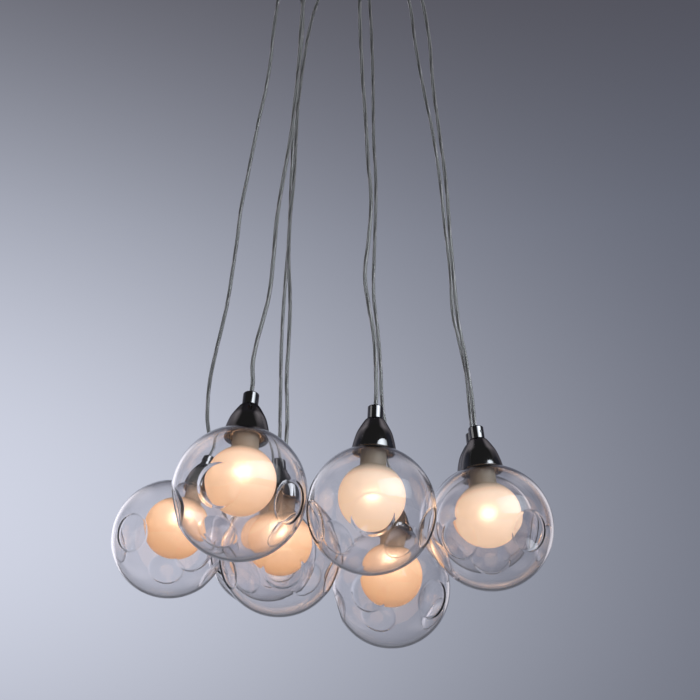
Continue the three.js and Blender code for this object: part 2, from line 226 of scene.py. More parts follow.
def stack(shape, outlines):
    """A closed solid through closed outlines, from the first, which looks down, to the last."""
    rings = [[shape.verts.new(point) for point in outline] for outline in outlines]
    for low, high in zip(rings, rings[1:]):
        for i in range(len(low)):
            j = (i + 1) % len(low)
            shape.faces.new((low[i], low[j], high[j], high[i]))
    shape.faces.new(rings[0][::-1])
    shape.faces.new(rings[-1])


print("helpers for meshes are ready")


# %% Helpers for profiles
def arc(centre, radius, start, end, steps):
    """Points of a round stretch of a profile. Angles are in degrees from the radius axis."""
    points = []
    for i in range(steps + 1):
        angle = math.radians(start + (end - start) * i / steps)
        points.append((centre[0] + radius * math.cos(angle), centre[1] + radius * math.sin(angle)))
    return points


def circle(centre, radius, sides):
    """Points of a whole circle, without its first point once more at its end."""
    return arc(centre, radius, 0, 360 * (sides - 1) / sides, sides - 1)


def steady(start, end, count):
    """Evenly spaced points of a straight stretch, both ends included."""
    return [tuple(Vector(start).lerp(Vector(end), i / count)) for i in range(count + 1)]


def smooth_line(points, steps):
    """A smooth line through all the points, with that many steps from each to the next."""
    ends = [points[0]] + list(points) + [points[-1]]
    line = []
    for a, b, c, d in zip(ends, ends[1:], ends[2:], ends[3:]):
        for i in range(steps):
            t = i / steps
            line.append(tuple(
                0.5 * (2 * q + (r - p) * t + (2 * p - 5 * q + 4 * r - s) * t ** 2
                       + (3 * q - p - 3 * r + s) * t ** 3)
                for p, q, r, s in zip(a, b, c, d)))
    return line + [tuple(points[-1])]


print("a quarter circle in three steps has", len(arc((0, 0), 1, 0, 90, 3)), "points")

# %% Soft corners for a profile
SHARP_TURN = math.radians(20)  # a corner that turns by less stays as it is
ROUNDING_STEPS = 4
SIDE_PARTS = 3  # a rounding takes one part in so many of a side at most
SUPPORT_SHARE = 1.3  # where a ring beside each rounding keeps the long faces flat in their shading


def soften(profile, reach_back):
    """Rounds the corners of a profile, so that edges catch the light as a real edge does. Each rounding
    starts and ends that far from its corner."""
    closed = profile[0] == profile[-1]
    points = [Vector(point) for point in (profile[:-1] if closed else profile)]
    rounded = []
    for i, here in enumerate(points):
        end = not closed and i in (0, len(points) - 1)
        back, on = points[i - 1] - here, points[(i + 1) % len(points)] - here
        if end or (-back).angle(on) < SHARP_TURN:
            rounded.append(tuple(here))
            continue
        size = min(reach_back, back.length / SIDE_PARTS, on.length / SIDE_PARTS)
        back, on = back.normalized() * size, on.normalized() * size
        rounded.append(tuple(here + back * SUPPORT_SHARE))
        for k in range(ROUNDING_STEPS + 1):
            t = k / ROUNDING_STEPS
            rounded.append(tuple(here + back * (1 - t) ** 2 + on * t ** 2))
        rounded.append(tuple(here + on * SUPPORT_SHARE))
    return rounded + rounded[:1] if closed else rounded


print("a soft corner has", len(soften([(0, 0), (1, 0), (1, 1)], 0.1)) - 2, "points")


# %% A helper that finishes a piece
def finish_piece(piece, body, material, slot, *replaced):
    """Gives a finished piece its material and its body, and hides the model's nodes that it stands for. The
    slot is not used.
    """
    piece.data.materials.clear()
    piece.data.materials.append(material)
    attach(piece, body)
    if replaced:
        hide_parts(*replaced)
    return piece


# %% Helpers for Geometry Nodes
def new_geometry_tree(name, inputs):
    """An empty Geometry Nodes tree with named inputs, and its input and output nodes."""
    tree = bpy.data.node_groups.new(name, "GeometryNodeTree")
    tree.interface.new_socket("Geometry", in_out="OUTPUT", socket_type="NodeSocketGeometry")
    tree.interface.new_socket("Geometry", in_out="INPUT", socket_type="NodeSocketGeometry")
    for socket, kind in {**inputs, "Material": "Material"}.items():
        tree.interface.new_socket(socket, in_out="INPUT", socket_type=f"NodeSocket{kind}")
    return tree, tree.nodes.new("NodeGroupInput"), tree.nodes.new("NodeGroupOutput")


def end_tree(tree, given, result, geometry):
    """Ends a tree as every tree here ends: real geometry with its material."""
    real = add_node(tree, "GeometryNodeRealizeInstances", {"Geometry": geometry})
    painted = add_node(tree, "GeometryNodeSetMaterial", {
        "Geometry": real.outputs["Geometry"], "Material": given.outputs["Material"]})
    tree.links.new(painted.outputs["Geometry"], result.inputs["Geometry"])
    return tree


def run_tree(mesh, tree, values, name):
    """The plain mesh that a tree makes from a mesh, with its inputs set by identifier."""
    source = add_object("source", mesh)
    modifier = source.modifiers.new(tree.name, "NODES")
    modifier.node_group = tree
    for item in tree.interface.items_tree:
        if item.in_out == "INPUT" and item.name in values:
            modifier[item.identifier] = values[item.name]
    graph = bpy.context.evaluated_depsgraph_get()
    made = bpy.data.meshes.new_from_object(source.evaluated_get(graph))
    made.name = name
    source.modifiers.clear()
    bpy.data.objects.remove(source)
    made.shade_smooth()
    return made


print("helpers for Geometry Nodes are ready")

# %% [markdown]
# ## Shared surface effects
# Metal, ceramic and plastic all carry faint uneven polish: smears and pits that break a reflection. Blown
# glass has slow waves instead. Each material could have its own noise, but the two effects are the same
# everywhere, so each is one node group that a material places with its own values.

# %% A node group for uneven polish
SMEAR_DETAIL, SMEAR_ROUGHNESS = 5, 0.6
PIT_DETAIL = 3
PIT_FINENESS = 14  # how much finer the pits are than the smears
PIT_DEPTH = 0.2 * MM


def new_group(name, inputs, outputs):
    """An empty shader node group with its sockets, and its input and output nodes."""
    group = bpy.data.node_groups.new(name, "ShaderNodeTree")
    for socket, value in inputs.items():
        made = group.interface.new_socket(socket, in_out="INPUT", socket_type="NodeSocketFloat")
        made.default_value = value
    for socket, kind in outputs.items():
        group.interface.new_socket(socket, in_out="OUTPUT", socket_type=kind)
    return group, group.nodes.new("NodeGroupInput"), group.nodes.new("NodeGroupOutput")


def make_polish_group():
    """Noise in the piece's own space spreads the roughness, and finer noise pits the surface."""
    group, given, result = new_group(
        "uneven polish",
        {"Scale": 60, "Roughness": 0.1, "Spread": 0.05, "Pitting": 0.1},
        {"Roughness": "NodeSocketFloat", "Normal": "NodeSocketVector"})
    place = add_node(group, "ShaderNodeTexCoord").outputs["Object"]
    smears = add_node(group, "ShaderNodeTexNoise", {
        "Vector": place, "Scale": given.outputs["Scale"], "Detail": SMEAR_DETAIL,
        "Roughness": SMEAR_ROUGHNESS})
    spread = maths(group, "SUBTRACT", smears.outputs["Fac"], 0.5)
    spread = maths(group, "MULTIPLY_ADD", spread, given.outputs["Spread"], given.outputs["Roughness"])
    fine = maths(group, "MULTIPLY", given.outputs["Scale"], PIT_FINENESS)
    pits = add_node(group, "ShaderNodeTexNoise", {"Vector": place, "Scale": fine, "Detail": PIT_DETAIL})
    bump = add_node(group, "ShaderNodeBump", {
        "Strength": given.outputs["Pitting"], "Distance": PIT_DEPTH, "Height": pits.outputs["Fac"]})
    group.links.new(spread, result.inputs["Roughness"])
    group.links.new(bump.outputs["Normal"], result.inputs["Normal"])
    return group


POLISH = make_polish_group()
print("made", POLISH.name, "of", len(POLISH.nodes), "nodes")

# %% A node group for waves in glass
WAVE_DEPTH = 1 * MM


def make_wave_group():
    """Slow noise that tilts the surface a little, as on hand blown glass."""
    group, given, result = new_group(
        "waves in glass", {"Scale": 25, "Strength": 0.1}, {"Normal": "NodeSocketVector"})
    place = add_node(group, "ShaderNodeTexCoord").outputs["Object"]
    waves = add_node(group, "ShaderNodeTexNoise", {
        "Vector": place, "Scale": given.outputs["Scale"], "Detail": 1})
    bump = add_node(group, "ShaderNodeBump", {
        "Strength": given.outputs["Strength"], "Distance": WAVE_DEPTH, "Height": waves.outputs["Fac"]})
    group.links.new(bump.outputs["Normal"], result.inputs["Normal"])
    return group


WAVES = make_wave_group()
print("made", WAVES.name, "of", len(WAVES.nodes), "nodes")

# %% [markdown]
# ## Materials
# Each finish of the real lamp is one material. Black chrome is a dark metal with a sharp reflection. Glass
# could be a plain see-through shader, but then it wouldn't bend what is behind it, so it is a Principled
# shader with transmission. A Light Path switch lets lamp light through it, because a renderer's shadow
# rays can't bend.

# %% Black chrome, steel, brass, ceramic and plastic
def new_material(name):
    """A new material, its tree and its Principled shader."""
    material = bpy.data.materials.new(name)
    material.use_nodes = True
    return material, material.node_tree, material.node_tree.nodes["Principled BSDF"]


def polished(name, colour, roughness, spread, pitting, metallic=1.0, scale=60):
    """A finish with uneven polish."""
    material, tree, shader = new_material(name)
    plug_in(tree, shader, {"Base Color": (*colour, 1), "Metallic": metallic})
    polish = add_node(tree, "ShaderNodeGroup", node_tree=POLISH)
    plug_in(tree, polish, {"Scale": scale, "Roughness": roughness, "Spread": spread, "Pitting": pitting})
    plug_in(tree, shader, {"Roughness": polish.outputs["Roughness"], "Normal": polish.outputs["Normal"]})
    return material


black_chrome = polished("black chrome", (0.2, 0.195, 0.2), roughness=0.06, spread=0.05, pitting=0.03)
chrome_shader = black_chrome.node_tree.nodes["Principled BSDF"]
chrome_shader.inputs["Specular Tint"].default_value = (0.3, 0.3, 0.31, 1)  # dark at a slant too
black_oxide = polished(
    "black oxide screw", (0.06, 0.06, 0.065), roughness=0.3, spread=0.1, pitting=0.2, scale=300)
zinc_steel = polished("zinc plated steel", (0.6, 0.61, 0.62), roughness=0.32, spread=0.2, pitting=0.25)
brass = polished("brass screw", (0.75, 0.56, 0.26), roughness=0.28, spread=0.15, pitting=0.2, scale=200)
tinned_copper = polished(
    "tinned copper", (0.46, 0.455, 0.44), roughness=0.4, spread=0.1, pitting=0.2, metallic=0.5, scale=400)
ceramic = polished(
    "unglazed ceramic", (0.86, 0.84, 0.78), roughness=0.5, spread=0.2, pitting=0.3, metallic=0.0)
block_plastic = polished(
    "moulded plastic", (0.82, 0.81, 0.77), roughness=0.45, spread=0.15, pitting=0.2, metallic=0.0)
print("made the opaque finishes")


# %% Clear glass and the cord's sheath
def let_lamps_through(tree, shader, share):
    """Mixes in a Transparent shader for shadow rays, so that lamps light what is behind the glass."""
    rays = add_node(tree, "ShaderNodeLightPath")
    passed = maths(tree, "MULTIPLY", rays.outputs["Is Shadow Ray"], share)
    clear = add_node(tree, "ShaderNodeBsdfTransparent")
    mix = add_node(tree, "ShaderNodeMixShader", {
        0: passed, 1: shader.outputs["BSDF"], 2: clear.outputs["BSDF"]})
    tree.links.new(mix.outputs["Shader"], tree.nodes["Material Output"].inputs["Surface"])


def glass(name, colour, roughness, ior, transmission, wave_scale, wave_strength, passed):
    """Clear or frosted glass with slow waves in its wall. Passed is the share of lamp light it lets by."""
    material, tree, shader = new_material(name)
    waves = add_node(tree, "ShaderNodeGroup", node_tree=WAVES)
    plug_in(tree, waves, {"Scale": wave_scale, "Strength": wave_strength})
    plug_in(tree, shader, {
        "Base Color": (*colour, 1), "Roughness": roughness, "IOR": ior, "Transmission Weight": transmission,
        "Normal": waves.outputs["Normal"]})
    let_lamps_through(tree, shader, passed)
    return material


clear_glass = glass(
    "clear glass", (0.985, 0.975, 0.985), roughness=0.0, ior=1.5, transmission=1.0,
    wave_scale=30, wave_strength=0.08, passed=0.94)
clear_sheath = glass(
    "clear sheath", (0.58, 0.58, 0.6), roughness=0.22, ior=1.5, transmission=1.0,
    wave_scale=120, wave_strength=0.1, passed=0.8)
print("made the clear glass and the sheath")

# %% [markdown]
# ## Light in the frosted glass
# The lamp's light spreads in the etched wall. Where the wall is near the filament and faces it, it glows
# pale; further off it turns to a deeper peach. A small light inside would do that too, but its light would
# have to find its way out through two rough walls, and the picture would stay grainy. So the share of
# light is worked out for each point when the piece is made and is kept on the mesh as an attribute, and
# the glow stays with the lamp from every side. Some lamps burn whiter, which is an attribute too.

# %% A glow that follows the mesh
MIX_FACTOR, MIX_FIRST, MIX_SECOND, MIX_RESULT = 0, 6, 7, 2  # sockets of a Mix node that mixes colours
NO_LIGHT = (0.0, 0.0, 0.0)
AMBER_GLOW = [(0, NO_LIGHT), (0.35, (0.41, 0.2, 0.077)), (1, (0.58, 0.365, 0.21))]
WHITER_GLOW = [(0, NO_LIGHT), (0.35, (0.42, 0.28, 0.18)), (1, (0.6, 0.46, 0.34))]
CAPSULE_GLOW = [(0, (0.008, 0.005, 0.003)), (0.35, (0.3, 0.18, 0.1)), (1, (1.0, 0.8, 0.56))]


def read_share(material, attribute):
    """The share that is kept on the mesh under that name."""
    return add_node(material.node_tree, "ShaderNodeAttribute", attribute_name=attribute).outputs["Fac"]


def glowing(material, strength, stops, slant_loss, pale_stops=None):
    """Adds light to a material: its colour follows the glow attribute of the mesh, and is less where the
    wall is seen at a slant, because etched glass sends most light straight on. A second row of stops is
    for the lamps that burn whiter, and the pale attribute says which do."""
    tree = material.node_tree
    slant = add_node(tree, "ShaderNodeLayerWeight", {"Blend": 0.5}).outputs["Facing"]
    kept = maths(tree, "MULTIPLY_ADD", slant, -slant_loss, 1)
    share = maths(tree, "MULTIPLY", read_share(material, "glow"), kept)
    colour = ramp(tree, share, stops)
    if pale_stops:
        colour = add_node(tree, "ShaderNodeMix", {
            MIX_FACTOR: read_share(material, "pale"), MIX_FIRST: colour,
            MIX_SECOND: ramp(tree, share, pale_stops)}, data_type="RGBA").outputs[MIX_RESULT]
    plug_in(tree, tree.nodes["Principled BSDF"], {"Emission Color": colour, "Emission Strength": strength})
    return material


print("rows of colours for the glow have", len(AMBER_GLOW), "stops")

# %% Frosted glass and the lit capsule
FROSTED = (0.8, 0.72, 0.65)
NECK_PAINTED_SHADE = (0.4, 0.35, 0.29)  # painted shade: the neck's colour is darker where the holder behind its wall keeps the lamp's light off it
frosted_glass = glowing(
    glass("frosted glass", FROSTED, roughness=0.5, ior=1.3, transmission=0.5,
          wave_scale=300, wave_strength=0.15, passed=0.35),
    strength=1.0, stops=AMBER_GLOW, slant_loss=0.7, pale_stops=WHITER_GLOW)
frosted_tree = frosted_glass.node_tree
# The base colour turns to the painted neck shade along the neck, as the neck share on the mesh says.
frosted_colour_and_neck_shade = ramp(frosted_tree, read_share(frosted_glass, "neck"), [(0, FROSTED), (1, NECK_PAINTED_SHADE)])
plug_in(frosted_tree, frosted_tree.nodes["Principled BSDF"], {"Base Color": frosted_colour_and_neck_shade})
lamp_glass = glowing(
    polished("lit capsule", (0.9, 0.85, 0.76), roughness=0.2, spread=0.05, pitting=0.1, metallic=0.0),
    strength=17.0, stops=CAPSULE_GLOW, slant_loss=0)
print("made the frosted glass and the lit capsule")

# %% [markdown]
# ## Cords
# A clear cord is a round sheath of soft PVC over two tinned cores, each a bundle of fine strands. A
# simulated cord would hang in one plain sweep, but these keep the kinks of their packing. So the route is
# a list of given points, down from the canopy to the cord grip, and a smooth curve runs through
# them. The two cores twist slowly about that same path, so Geometry Nodes make them from it.

# %% Routes of the cords, in millimetres
CORD_STRAIGHT = 12 * MM  # straight stretch at each end
CORD_GAP = 0.3 * MM  # between the cord grip and the cord's end

CORD_ROUTES = [
    [(-72, -24, -78), (-75, -18, -118), (-80, -10, -161), (-84, -6, -199), (-87, 0, -240), (-92, 5, -280),
     (-99, 9, -320), (-105, 14, -358), (-111, 19, -396), (-117, 24, -434), (-120, 28, -471),
     (-124, 33, -507), (-128, 37, -542), (-134, 41, -576), (-140, 44, -607), (-145, 49, -639),
     (-146, 54, -675)],
    [(-33, -70, -88), (-37, -72, -135), (-41, -75, -180), (-45, -79, -222), (-47, -82, -265),
     (-48, -84, -307), (-51, -87, -363), (-55, -90, -417), (-61, -92, -467), (-66, -95, -516),
     (-68, -98, -562), (-71, -100, -606), (-76, -101, -633), (-81, -102, -657), (-84, -103, -680)],
    [(-29, 70, -68), (-35, 68, -92), (-41, 65, -120), (-46, 61, -155), (-50, 57, -192), (-53, 54, -228),
     (-56, 50, -270), (-57, 45, -323), (-58, 39, -383), (-61, 34, -441), (-61, 29, -496), (-58, 24, -549),
     (-58, 19, -599), (-59, 15, -645), (-57, 11, -695)],
    [(25, -71, -90), (22, -71, -135), (20, -72, -178), (19, -72, -220), (20, -72, -270), (22, -72, -325),
     (25, -73, -379), (27, -73, -431), (30, -73, -481), (27, -73, -529), (23, -73, -570), (27, -73, -606),
     (32, -73, -642), (33, -73, -675)],
    [(33, 69, -80), (35, 68, -120), (36, 68, -160), (37, 68, -205), (37, 67, -255), (37, 67, -307),
     (39, 67, -365), (38, 67, -421), (36, 66, -475), (35, 66, -520), (39, 66, -565), (42, 66, -610),
     (43, 65, -651), (47, 65, -686), (52, 65, -718)],
    [(71, -32, -75), (79, -32, -110), (88, -32, -146), (95, -32, -184), (101, -32, -240),
     (103, -32, -300), (108, -32, -365), (113, -32, -430), (115, -32, -490), (117, -32, -548),
     (120, -32, -602), (126, -32, -645), (130, -32, -684)],
    [(-66, 34, -67), (-59, 38, -90), (-53, 43, -116), (-52, 48, -150), (-55, 55, -195), (-59, 63, -251),
     (-62, 71, -305), (-64, 81, -370), (-66, 91, -441), (-70, 101, -510), (-72, 109, -565),
     (-72, 117, -622), (-72, 124, -671)],
    [(73, 27, -74), (78, 30, -98), (84, 36, -124), (90, 42, -182), (99, 49, -246), (108, 55, -300),
     (116, 63, -368), (120, 69, -425), (125, 76, -484), (127, 82, -541), (134, 87, -576),
     (140, 91, -613), (142, 94, -645)],
]
print("routes for", len(CORD_ROUTES), "cords")

# %% The cord's own points
# Cup and grip have the widths that the photograph shows, and the cord nearly so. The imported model's radii
# are up to 1.3 mm less.
SEAT_GAP = 0.3 * MM  # between two pieces that rest on each other
CORD_RADIUS = 2.1 * MM
CUP_RIM = 21.3 * MM
CUP_TOP = 87.8 * MM  # over the clear ball's centre
GRIP_RADIUS = 7.5 * MM
GRIP_HEIGHT = 13 * MM
GRIP_FOOT = CUP_TOP + SEAT_GAP
GRIP_TOP = GRIP_FOOT + GRIP_HEIGHT
STRAIGHT_SHARES = (0, 0.5, 1)  # points of the straight stretch at each end


def cord_path(drop):
    """The cord's points, from its collar to its grip."""
    foot = drop.centre + drop.axis * (GRIP_TOP + CORD_GAP)
    top = [drop.cord_top - UP * CORD_STRAIGHT * share for share in STRAIGHT_SHARES]
    middle = [Vector(point) * MM for point in CORD_ROUTES[drop.number - 1]]
    end = [foot + drop.axis * CORD_STRAIGHT * share for share in reversed(STRAIGHT_SHARES)]
    return top + middle + end


print("cords are", round(2 * CORD_RADIUS / MM, 2), "mm thick")

# %% A sheath for each cord
SHEATH_STEPS = 8  # between two points of the route
SHEATH_ROUNDNESS = 5


def make_sheath(drop):
    """A bezier curve through the cord's points, with a round section."""
    curve = bpy.data.curves.new(f"sheath_{drop.number}", "CURVE")
    curve.dimensions = "3D"
    curve.bevel_depth = CORD_RADIUS
    curve.bevel_resolution = SHEATH_ROUNDNESS
    curve.resolution_u = SHEATH_STEPS
    curve.use_fill_caps = True
    spline = curve.splines.new("BEZIER")
    path = cord_path(drop)
    spline.bezier_points.add(len(path) - 1)
    for point, place in zip(spline.bezier_points, path):
        point.co = place
        point.handle_left_type = point.handle_right_type = "AUTO"
    return finish_piece(add_object(curve.name, curve), f"drop_{drop.number}", clear_sheath, "clear_sheath",
                        f"cord_{drop.number}")


sheaths = [make_sheath(drop) for drop in drops]
print("made", len(sheaths), "sheaths")


# %% Geometry Nodes for two cores twisted along a path
CORE_SIDES = 10


def make_core_tree():
    """Walks along a line in even steps. Two copies of it are moved aside, to opposite sides, in a
    direction that turns with the length, and each copy gets a round section."""
    tree, given, result = new_geometry_tree("twisted cores", {
        "Core Radius": "Float", "Offset": "Float", "Twist Length": "Float", "Step": "Float"})
    line = add_node(tree, "GeometryNodeMeshToCurve", {"Mesh": given.outputs["Geometry"]})
    even = add_node(tree, "GeometryNodeResampleCurve", {
        "Curve": line.outputs["Curve"], "Length": given.outputs["Step"]}, mode="LENGTH")
    along = add_node(tree, "GeometryNodeSplineParameter").outputs["Length"]
    turns = maths(tree, "DIVIDE", along, given.outputs["Twist Length"])
    normal = add_node(tree, "GeometryNodeInputNormal").outputs["Normal"]
    tangent = add_node(tree, "GeometryNodeInputTangent").outputs["Tangent"]
    side = vector_maths(tree, "CROSS_PRODUCT", tangent, normal)
    section = add_node(tree, "GeometryNodeCurvePrimitiveCircle", {
        "Resolution": CORE_SIDES, "Radius": given.outputs["Core Radius"]})
    join = tree.nodes.new("GeometryNodeJoinGeometry")
    for phase in (0, math.pi):
        angle = maths(tree, "MULTIPLY_ADD", turns, 2 * math.pi, phase)
        across = vector_maths(tree, "SCALE", normal, scale=maths(tree, "COSINE", angle))
        sideways = vector_maths(tree, "SCALE", side, scale=maths(tree, "SINE", angle))
        offset = vector_maths(tree, "ADD", across, sideways)
        offset = vector_maths(tree, "SCALE", offset, scale=given.outputs["Offset"])
        moved = add_node(tree, "GeometryNodeSetPosition", {
            "Geometry": even.outputs["Curve"], "Offset": offset})
        core = add_node(tree, "GeometryNodeCurveToMesh", {
            "Curve": moved.outputs["Geometry"], "Profile Curve": section.outputs["Curve"],
            "Fill Caps": True})
        tree.links.new(core.outputs["Mesh"], join.inputs["Geometry"])
    return end_tree(tree, given, result, join.outputs["Geometry"])


CORE_TREE = make_core_tree()
print("core tree has", len(CORE_TREE.nodes), "nodes")

# %% Two cores in each sheath
CORE_RADIUS = 0.8 * MM
CORE_OFFSET = 0.85 * MM
CORE_TWIST = 110 * MM
CORE_STEP = 4 * MM


def make_cores(drop, sheath):
    """Both cores of one cord, twisted about the middle line of its sheath."""
    bare = sheath.data.copy()
    bare.bevel_depth = 0
    guide = bpy.data.objects.new("guide", bare)
    line = bpy.data.meshes.new_from_object(guide)
    bpy.data.objects.remove(guide)
    cores = add_object(f"cores_{drop.number}", run_tree(line, CORE_TREE, {
        "Core Radius": CORE_RADIUS, "Offset": CORE_OFFSET, "Twist Length": CORE_TWIST, "Step": CORE_STEP,
        "Material": tinned_copper}, f"cores_{drop.number}"))
    return finish_piece(cores, f"drop_{drop.number}", tinned_copper, "clear_sheath")


for drop, sheath in zip(drops, sheaths):
    cores = make_cores(drop, sheath)

# %% [markdown]
# ## Screw threads
# The clear ball screws into the cup, and the canopy's nut runs on a threaded stud. A thread is a ridge that
# climbs by one pitch in each turn. It could be swept along a helix, but then its ends and the wall under
# it would have to be joined. Instead one Geometry Nodes tree raises it on a plain turned piece, between
# two heights and two radii, by the same rule everywhere. A depth below zero presses it inwards.

# %% Geometry Nodes that raise a thread
def make_thread_tree():
    """Moves each point out from the axis by a wave that winds up with the height. The wave fades within
    half a pitch of the two heights and holds between the two radii alone."""
    tree, given, result = new_geometry_tree("screw thread", {
        "Pitch": "Float", "Depth": "Float", "Low": "Float", "High": "Float", "Least Radius": "Float",
        "Most Radius": "Float", "Phase": "Float"})
    place = tree.nodes.new("GeometryNodeInputPosition").outputs["Position"]
    parts = add_node(tree, "ShaderNodeSeparateXYZ", {"Vector": place})
    x, y, z = (parts.outputs[axis] for axis in "XYZ")
    flat = add_node(tree, "ShaderNodeCombineXYZ", {"X": x, "Y": y}).outputs["Vector"]
    radius = add_node(tree, "ShaderNodeVectorMath", {0: flat}, operation="LENGTH").outputs["Value"]
    climb = maths(tree, "MULTIPLY", maths(tree, "DIVIDE", z, given.outputs["Pitch"]), 2 * math.pi)
    wind = maths(tree, "SUBTRACT", climb, maths(tree, "ARCTAN2", y, x))
    ridge = maths(tree, "COSINE", maths(tree, "ADD", wind, given.outputs["Phase"]))
    ridge = maths(tree, "MULTIPLY_ADD", ridge, 0.5, 0.5)
    fade = 1
    for edge, sense in ((given.outputs["Low"], 1), (given.outputs["High"], -1)):
        inside = maths(tree, "MULTIPLY", maths(tree, "SUBTRACT", z, edge), sense)
        share = maths(tree, "DIVIDE", maths(tree, "MULTIPLY", inside, 2), given.outputs["Pitch"])
        clamped = add_node(tree, "ShaderNodeClamp", {"Value": share}).outputs["Result"]
        fade = maths(tree, "MULTIPLY", clamped, fade)
    for limit, operation in (("Least Radius", "GREATER_THAN"), ("Most Radius", "LESS_THAN")):
        fade = maths(tree, "MULTIPLY", fade, maths(tree, operation, radius, given.outputs[limit]))
    height = maths(tree, "MULTIPLY", maths(tree, "MULTIPLY", ridge, fade), given.outputs["Depth"])
    outwards = vector_maths(tree, "SCALE", vector_maths(tree, "NORMALIZE", flat), scale=height)
    moved = add_node(tree, "GeometryNodeSetPosition", {
        "Geometry": given.outputs["Geometry"], "Offset": outwards})
    return end_tree(tree, given, result, moved.outputs["Geometry"])


THREAD_TREE = make_thread_tree()
NECK_PITCH = 2.1 * MM
print("thread tree has", len(THREAD_TREE.nodes), "nodes")

# %% [markdown]
# ## Clear balls
# The ball is blown in one piece with its neck, and five round hollows are pressed into its waist while it
# is soft, so the wall is dented as a whole. Cutting them with a smaller ball would thin the wall and leave
# sharp rims. So the plain ball is first turned as one closed wall, outside and inside, and then Geometry
# Nodes press the hollows by a rule: a point moves in towards the centre by an amount that falls off with
# its angle from the middle of the nearest hollow.

# %% The plain ball, before its hollows
BALL_WALL = 2.2 * MM
NECK_RADIUS = 16.8 * MM
NECK_WALL = 2 * MM
GLASS_EDGE = 0.7 * MM  # rounding of a fire polished rim
BALL_STEPS = 320
BALL_BANDS = ((-90, 14), (-41, 56), (3, 26))  # from this latitude up, so many rings; closest at hollows
NECK_RINGS = 16
RIM_RINGS = 4
_, ball_foot, NECK_TOP = reach("outer_globe")
BALL_RADIUS = -ball_foot


def ball_arc(radius, neck_radius):
    """From the bottom of a ball up to its neck, with its rings closest where the hollows will be."""
    top = math.degrees(math.acos(neck_radius / radius))
    ends = [start for start, _ in BALL_BANDS[1:]] + [top]
    points = [(0, -radius)]
    for (start, rings), end in zip(BALL_BANDS, ends):
        points += arc((0, 0), radius, start, end, rings)[1:]
    return points


def plain_ball():
    """The wall of ball and neck, turned about the ball's centre."""
    inner = NECK_RADIUS - NECK_WALL
    outside = ball_arc(BALL_RADIUS, NECK_RADIUS)
    inside = ball_arc(BALL_RADIUS - BALL_WALL, inner)
    neck_foot = (NECK_RADIUS, outside[-1][1] + GLASS_EDGE)
    neck = steady(neck_foot, (NECK_RADIUS, NECK_TOP - GLASS_EDGE), NECK_RINGS)
    rim = arc((NECK_RADIUS - GLASS_EDGE, NECK_TOP - GLASS_EDGE), GLASS_EDGE, 0, 90, RIM_RINGS)[1:]
    rim += arc((inner + GLASS_EDGE, NECK_TOP - GLASS_EDGE), GLASS_EDGE, 90, 180, RIM_RINGS)
    return lathe("plain ball", outside + neck + rim + inside[::-1], BALL_STEPS)


print("a clear ball is", round(2 * BALL_RADIUS / MM, 1), "mm across")


# %% Geometry Nodes that press the hollows
HOLLOW_COUNT = 5
HOLLOW_RADIUS = 19 * MM
HOLLOW_ANGLE = math.asin(HOLLOW_RADIUS / BALL_RADIUS)
HOLLOW_DEPTH = 8.5 * MM
HOLLOW_LATITUDE = math.radians(-19)
HOLLOW_SOFTNESS = 0.08
HOLLOW_TURNS = (24, 43, 62, 55, 30, 13, 10, 50)  # degrees, one a drop


def make_hollow_tree():
    """Finds each point's angle from the middle of the nearest hollow, by wrapping its longitude into one
    sector, and moves the point in by a bowl that ends softly at the hollow's rim."""
    tree, given, result = new_geometry_tree("pressed hollows", {
        "Count": "Int", "Angle": "Float", "Depth": "Float", "Latitude": "Float", "Turn": "Float",
        "Softness": "Float"})
    place = tree.nodes.new("GeometryNodeInputPosition").outputs["Position"]
    out = vector_maths(tree, "NORMALIZE", place)
    parts = add_node(tree, "ShaderNodeSeparateXYZ", {"Vector": out})
    x, y, z = (parts.outputs[axis] for axis in "XYZ")
    longitude = maths(tree, "SUBTRACT", maths(tree, "ARCTAN2", y, x), given.outputs["Turn"])
    sector = maths(tree, "DIVIDE", 2 * math.pi, given.outputs["Count"])
    half = maths(tree, "MULTIPLY", sector, 0.5)
    aside = maths(tree, "WRAP", longitude, half, maths(tree, "MULTIPLY", half, -1))
    square = maths(tree, "SUBTRACT", 1, maths(tree, "MULTIPLY", z, z))
    level = maths(tree, "SQRT", maths(tree, "MAXIMUM", square, 0))
    sideways = maths(tree, "MULTIPLY", maths(tree, "MULTIPLY", level, maths(tree, "COSINE", aside)),
                     maths(tree, "COSINE", given.outputs["Latitude"]))
    cosine = maths(tree, "MULTIPLY_ADD", z, maths(tree, "SINE", given.outputs["Latitude"]), sideways)
    share = maths(tree, "DIVIDE", maths(tree, "ARCCOSINE", cosine), given.outputs["Angle"])
    bowl = maths(tree, "SUBTRACT", 1, maths(tree, "MULTIPLY", share, share))
    sink = maths(tree, "SMOOTH_MAX", bowl, 0, given.outputs["Softness"])
    press = maths(tree, "MULTIPLY", maths(tree, "MULTIPLY", sink, given.outputs["Depth"]), -1)
    pressed = add_node(tree, "GeometryNodeSetPosition", {
        "Geometry": given.outputs["Geometry"], "Offset": vector_maths(tree, "SCALE", out, scale=press)})
    return end_tree(tree, given, result, pressed.outputs["Geometry"])


HOLLOW_TREE = make_hollow_tree()
print(HOLLOW_COUNT, "hollows to a ball, each", round(HOLLOW_DEPTH / MM, 1), "mm deep")

